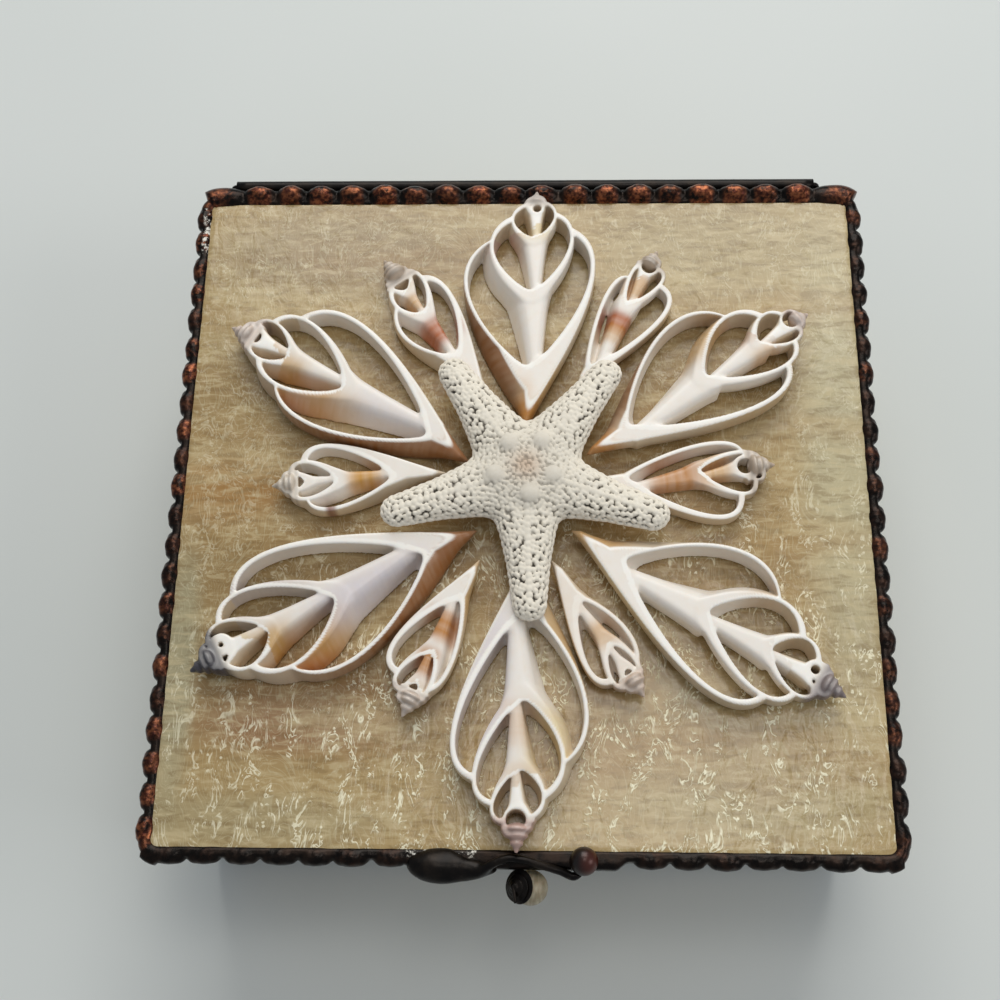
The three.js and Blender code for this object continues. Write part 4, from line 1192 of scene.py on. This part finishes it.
# Front pull: a solder lump drawn out into a wire, a ball, and a snail shell with a coil
LUMP = dict(x=-16.6, out=2.2, halves=(6.2, 3.5, 3.1))
LUMP_TAIL = dict(x=-11, out=2.6, halves=(6.4, 1.9, 2))
LUMP_FOLDS = 0.5
WIRE = 0.85
LOOP_HEIGHT = 2.1
BALL = dict(x=12.8, out=1.2, above=1.2, radius=2.9)
SNAIL = dict(x=2.1, out=5.9, below=4.4, radius=3.6)
COIL = dict(radius=3.1, height=2.2, turns=3, facing=(-0.64, -0.05, 0.76))
COIL_SIDES = 40
COIL_TIP = 0.25
PIN_RADIUS = 0.45
PIN_LENGTH = 3.2
BALL_GAP = 0.1
PULL_VOXEL = 0.26


def build_pull():
    z = RIM_MIDDLE
    edge = -RIM_OUTER
    ball = np.array([BALL["x"], -PANE_HALF - BALL["out"], BALL["above"]])
    snail = np.array([SNAIL["x"], -PANE_HALF - SNAIL["out"], -SNAIL["below"]])
    lumps = []
    for part in (LUMP, LUMP_TAIL):
        lumps.append(((part["x"], -PANE_HALF - part["out"], z + 0.3), part["halves"]))
    foot = LUMP_TAIL["x"] + 2.7
    path = [
        (foot - 4, edge - 2, z), (foot, edge - 1.9, z + 1.4), (foot + 2.2, edge - 0.9, z + 2.9),
        (foot + 5.8, edge + 0.5, LOOP_HEIGHT), (snail[0] - 1.4, edge + 0.2, LOOP_HEIGHT),
        (snail[0] + 2, edge - 0.7, LOOP_HEIGHT - 0.5), (snail[0] + 6, edge - 1.7, LOOP_HEIGHT - 1.9),
        (ball[0] - 1.8, ball[1] - 2.8, LOOP_HEIGHT - 2.5), (ball[0], ball[1] - 1, ball[2] - 0.6),
    ]
    spots, _ = smooth_path(path, 48)

    def field(x, y, h):
        solid = None
        for start, end in zip(spots[:-1], spots[1:]):
            link = capsule(x, y, h, start, end, WIRE - 0.03)
            solid = link if solid is None else np.minimum(solid, link)
        for centre, halves in lumps:
            solid = smooth_min(solid, ellipsoid(x, y, h, centre, halves), 1.6)
        from_ball = np.sqrt((x - ball[0]) ** 2 + (y - ball[1]) ** 2 + (h - ball[2]) ** 2)
        return smooth_max(solid, -(from_ball - BALL["radius"] - BALL_GAP), 0.2)

    low = (LUMP["x"] - LUMP["halves"][0] - 1, snail[1] - 1, z - LUMP["halves"][2] - 1)
    high = (BALL["x"] + 3, -PANE_HALF + 4.5, LOOP_HEIGHT + 2)
    points, quads = surface_of(field, low, high, PULL_VOXEL)
    dents = 0.06 * np.stack([value_noise(points, 1.7, seed) for seed in (70, 71, 72)], 1)
    folds = LUMP_FOLDS * np.stack([value_noise(points, 3.6, seed) for seed in (73, 74, 75)], 1)
    points = points + dents + folds * smooth_step(-points[:, 0], 6, 11)[:, None]
    make_piece("pull_wire_and_lump", points + LID, quads, PATINA, "lid", ["pull_wire"])

    points, faces = lump(ball, [BALL["radius"]] * 3, 0.02, 40, 28, 80)
    # Painted sheen: the side of the ball that faces the side lamp is coloured red-brown
    glow = smooth_step((points - ball) @ np.array([0.75, -0.25, 0.6]), 0.2, 2.8)
    make_piece("pull_ball_round", points + LID, faces, BALL_FINISH, "lid", ["pull_ball"],
               {"glow": glow})

    axis = np.array(COIL["facing"], float)
    axis /= np.linalg.norm(axis)
    basis = np.array(Vector((0, 0, 1)).rotation_difference(Vector(axis)).to_matrix())
    points, faces = lump(snail, [SNAIL["radius"]] * 3, 0.02, 44, 30, 81)
    local = (points - snail) @ basis
    way = np.arctan2(local[:, 1], local[:, 0])
    lift = np.arccos(np.clip(local[:, 2] / SNAIL["radius"], -1, 1))
    groove = 0.5 + 0.5 * np.cos(way - lift * 5.2)
    shrink = 1 - 0.07 * smooth_step(groove, 0.86, 1.0) * smooth_step(local[:, 2], -1.5, 1.2)
    points = snail + (points - snail) * shrink[:, None]
    make_piece("pull_snail_round", points + LID, faces, SNAIL_FINISH, "lid", ["pull_snail"])

    coil_foot = SNAIL["radius"] + 0.02
    turns = np.linspace(0, 2 * math.pi, COIL_SIDES, endpoint=False)
    rings = []
    for share in np.linspace(0, 1, 40):
        radius = COIL["radius"] * (1 - share) + COIL_TIP
        ridge = 1 + 0.12 * np.cos(2 * math.pi * COIL["turns"] * share * 1.2 - turns)
        ring = np.stack([np.cos(turns) * radius * ridge, np.sin(turns) * radius * ridge,
                         np.full(COIL_SIDES, coil_foot + COIL["height"] * share)], 1)
        rings.append(ring @ basis.T + snail)
    top = axis * (coil_foot + 0.8 * COIL["height"]) + snail
    pin_path = [top, top + [0.3, -PIN_LENGTH * 0.5, 0], top + [0.5, -PIN_LENGTH, 0.1]]
    pin = loft(tube_rings(pin_path, np.linspace(PIN_RADIUS, PIN_RADIUS * 0.6, 10), 10, 12))
    points, faces = joined(loft(rings), pin)
    make_piece("pull_coil_wound", points + LID, faces, PATINA, "lid", ["pull_coil"])


build_pull()


# Floor, light and camera. A light is a name, a place in metres, a size, a power and a colour.
LIGHTS = [
    ("window", (0.05, 0.85, 0.85), 0.8, 8.3, (1.0, 0.99, 0.96)),
    ("ceiling", (0.1, 0.12, 1.1), 0.3, 1.3, (1.0, 0.97, 0.92)),
    ("side", (0.95, -0.2, 0.7), 0.5, 2.2, (0.98, 0.99, 1.0)),
]
LIGHT_AIM = (0, 0, 0.05)
SKY_COLOUR = (0.86, 0.92, 1.0, 1)
SKY_STRENGTH = 0.345
FLOOR_SIZE = 6
LENS = 51.748
SENSOR = 36
CAMERA_FROM_LID = (5.998, -110.324, 295.936)
CAMERA_TURN = (0.357276823, 0.0321415626, 0.0151661283)


def add_light(name, place, size, power, colour):
    light = bpy.data.lights.new(name, "AREA")
    light.size = size
    light.energy = power
    light.color = colour
    holder = bpy.data.objects.new(name, light)
    holder.location = place
    holder.rotation_euler = (Vector(LIGHT_AIM) - Vector(place)).to_track_quat("-Z", "Y").to_euler()
    bpy.context.scene.collection.objects.link(holder)


def build_stage():
    n = Nodes("pale surface")
    cloud = n.noise(n.place(), 260, detail=2)
    n.set(Base_Color=n.mix(n.ramp(cloud, 0.3, 0.7), rgb("d3d7d3"), rgb("d9dcd8")), Roughness=0.6)
    bpy.ops.mesh.primitive_plane_add(size=FLOOR_SIZE)
    floor = bpy.context.object
    floor.name = "floor"
    floor.data.materials.append(n.material)
    world = bpy.data.worlds.new("soft studio")
    world.use_nodes = True
    world.node_tree.nodes["Background"].inputs["Color"].default_value = SKY_COLOUR
    world.node_tree.nodes["Background"].inputs["Strength"].default_value = SKY_STRENGTH
    bpy.context.scene.world = world
    for light in LIGHTS:
        add_light(*light)


def build_camera():
    data = bpy.data.cameras.new("photo view")
    data.sensor_width = SENSOR
    data.lens = LENS
    camera = bpy.data.objects.new("photo view", data)
    place = Matrix.Translation(Vector((LID + CAMERA_FROM_LID) * MM))
    camera.matrix_world = place @ Euler(CAMERA_TURN, "XYZ").to_matrix().to_4x4()
    bpy.context.scene.collection.objects.link(camera)
    bpy.context.scene.camera = camera


build_stage()
build_camera()
bpy.context.scene.view_settings.view_transform = "Standard"
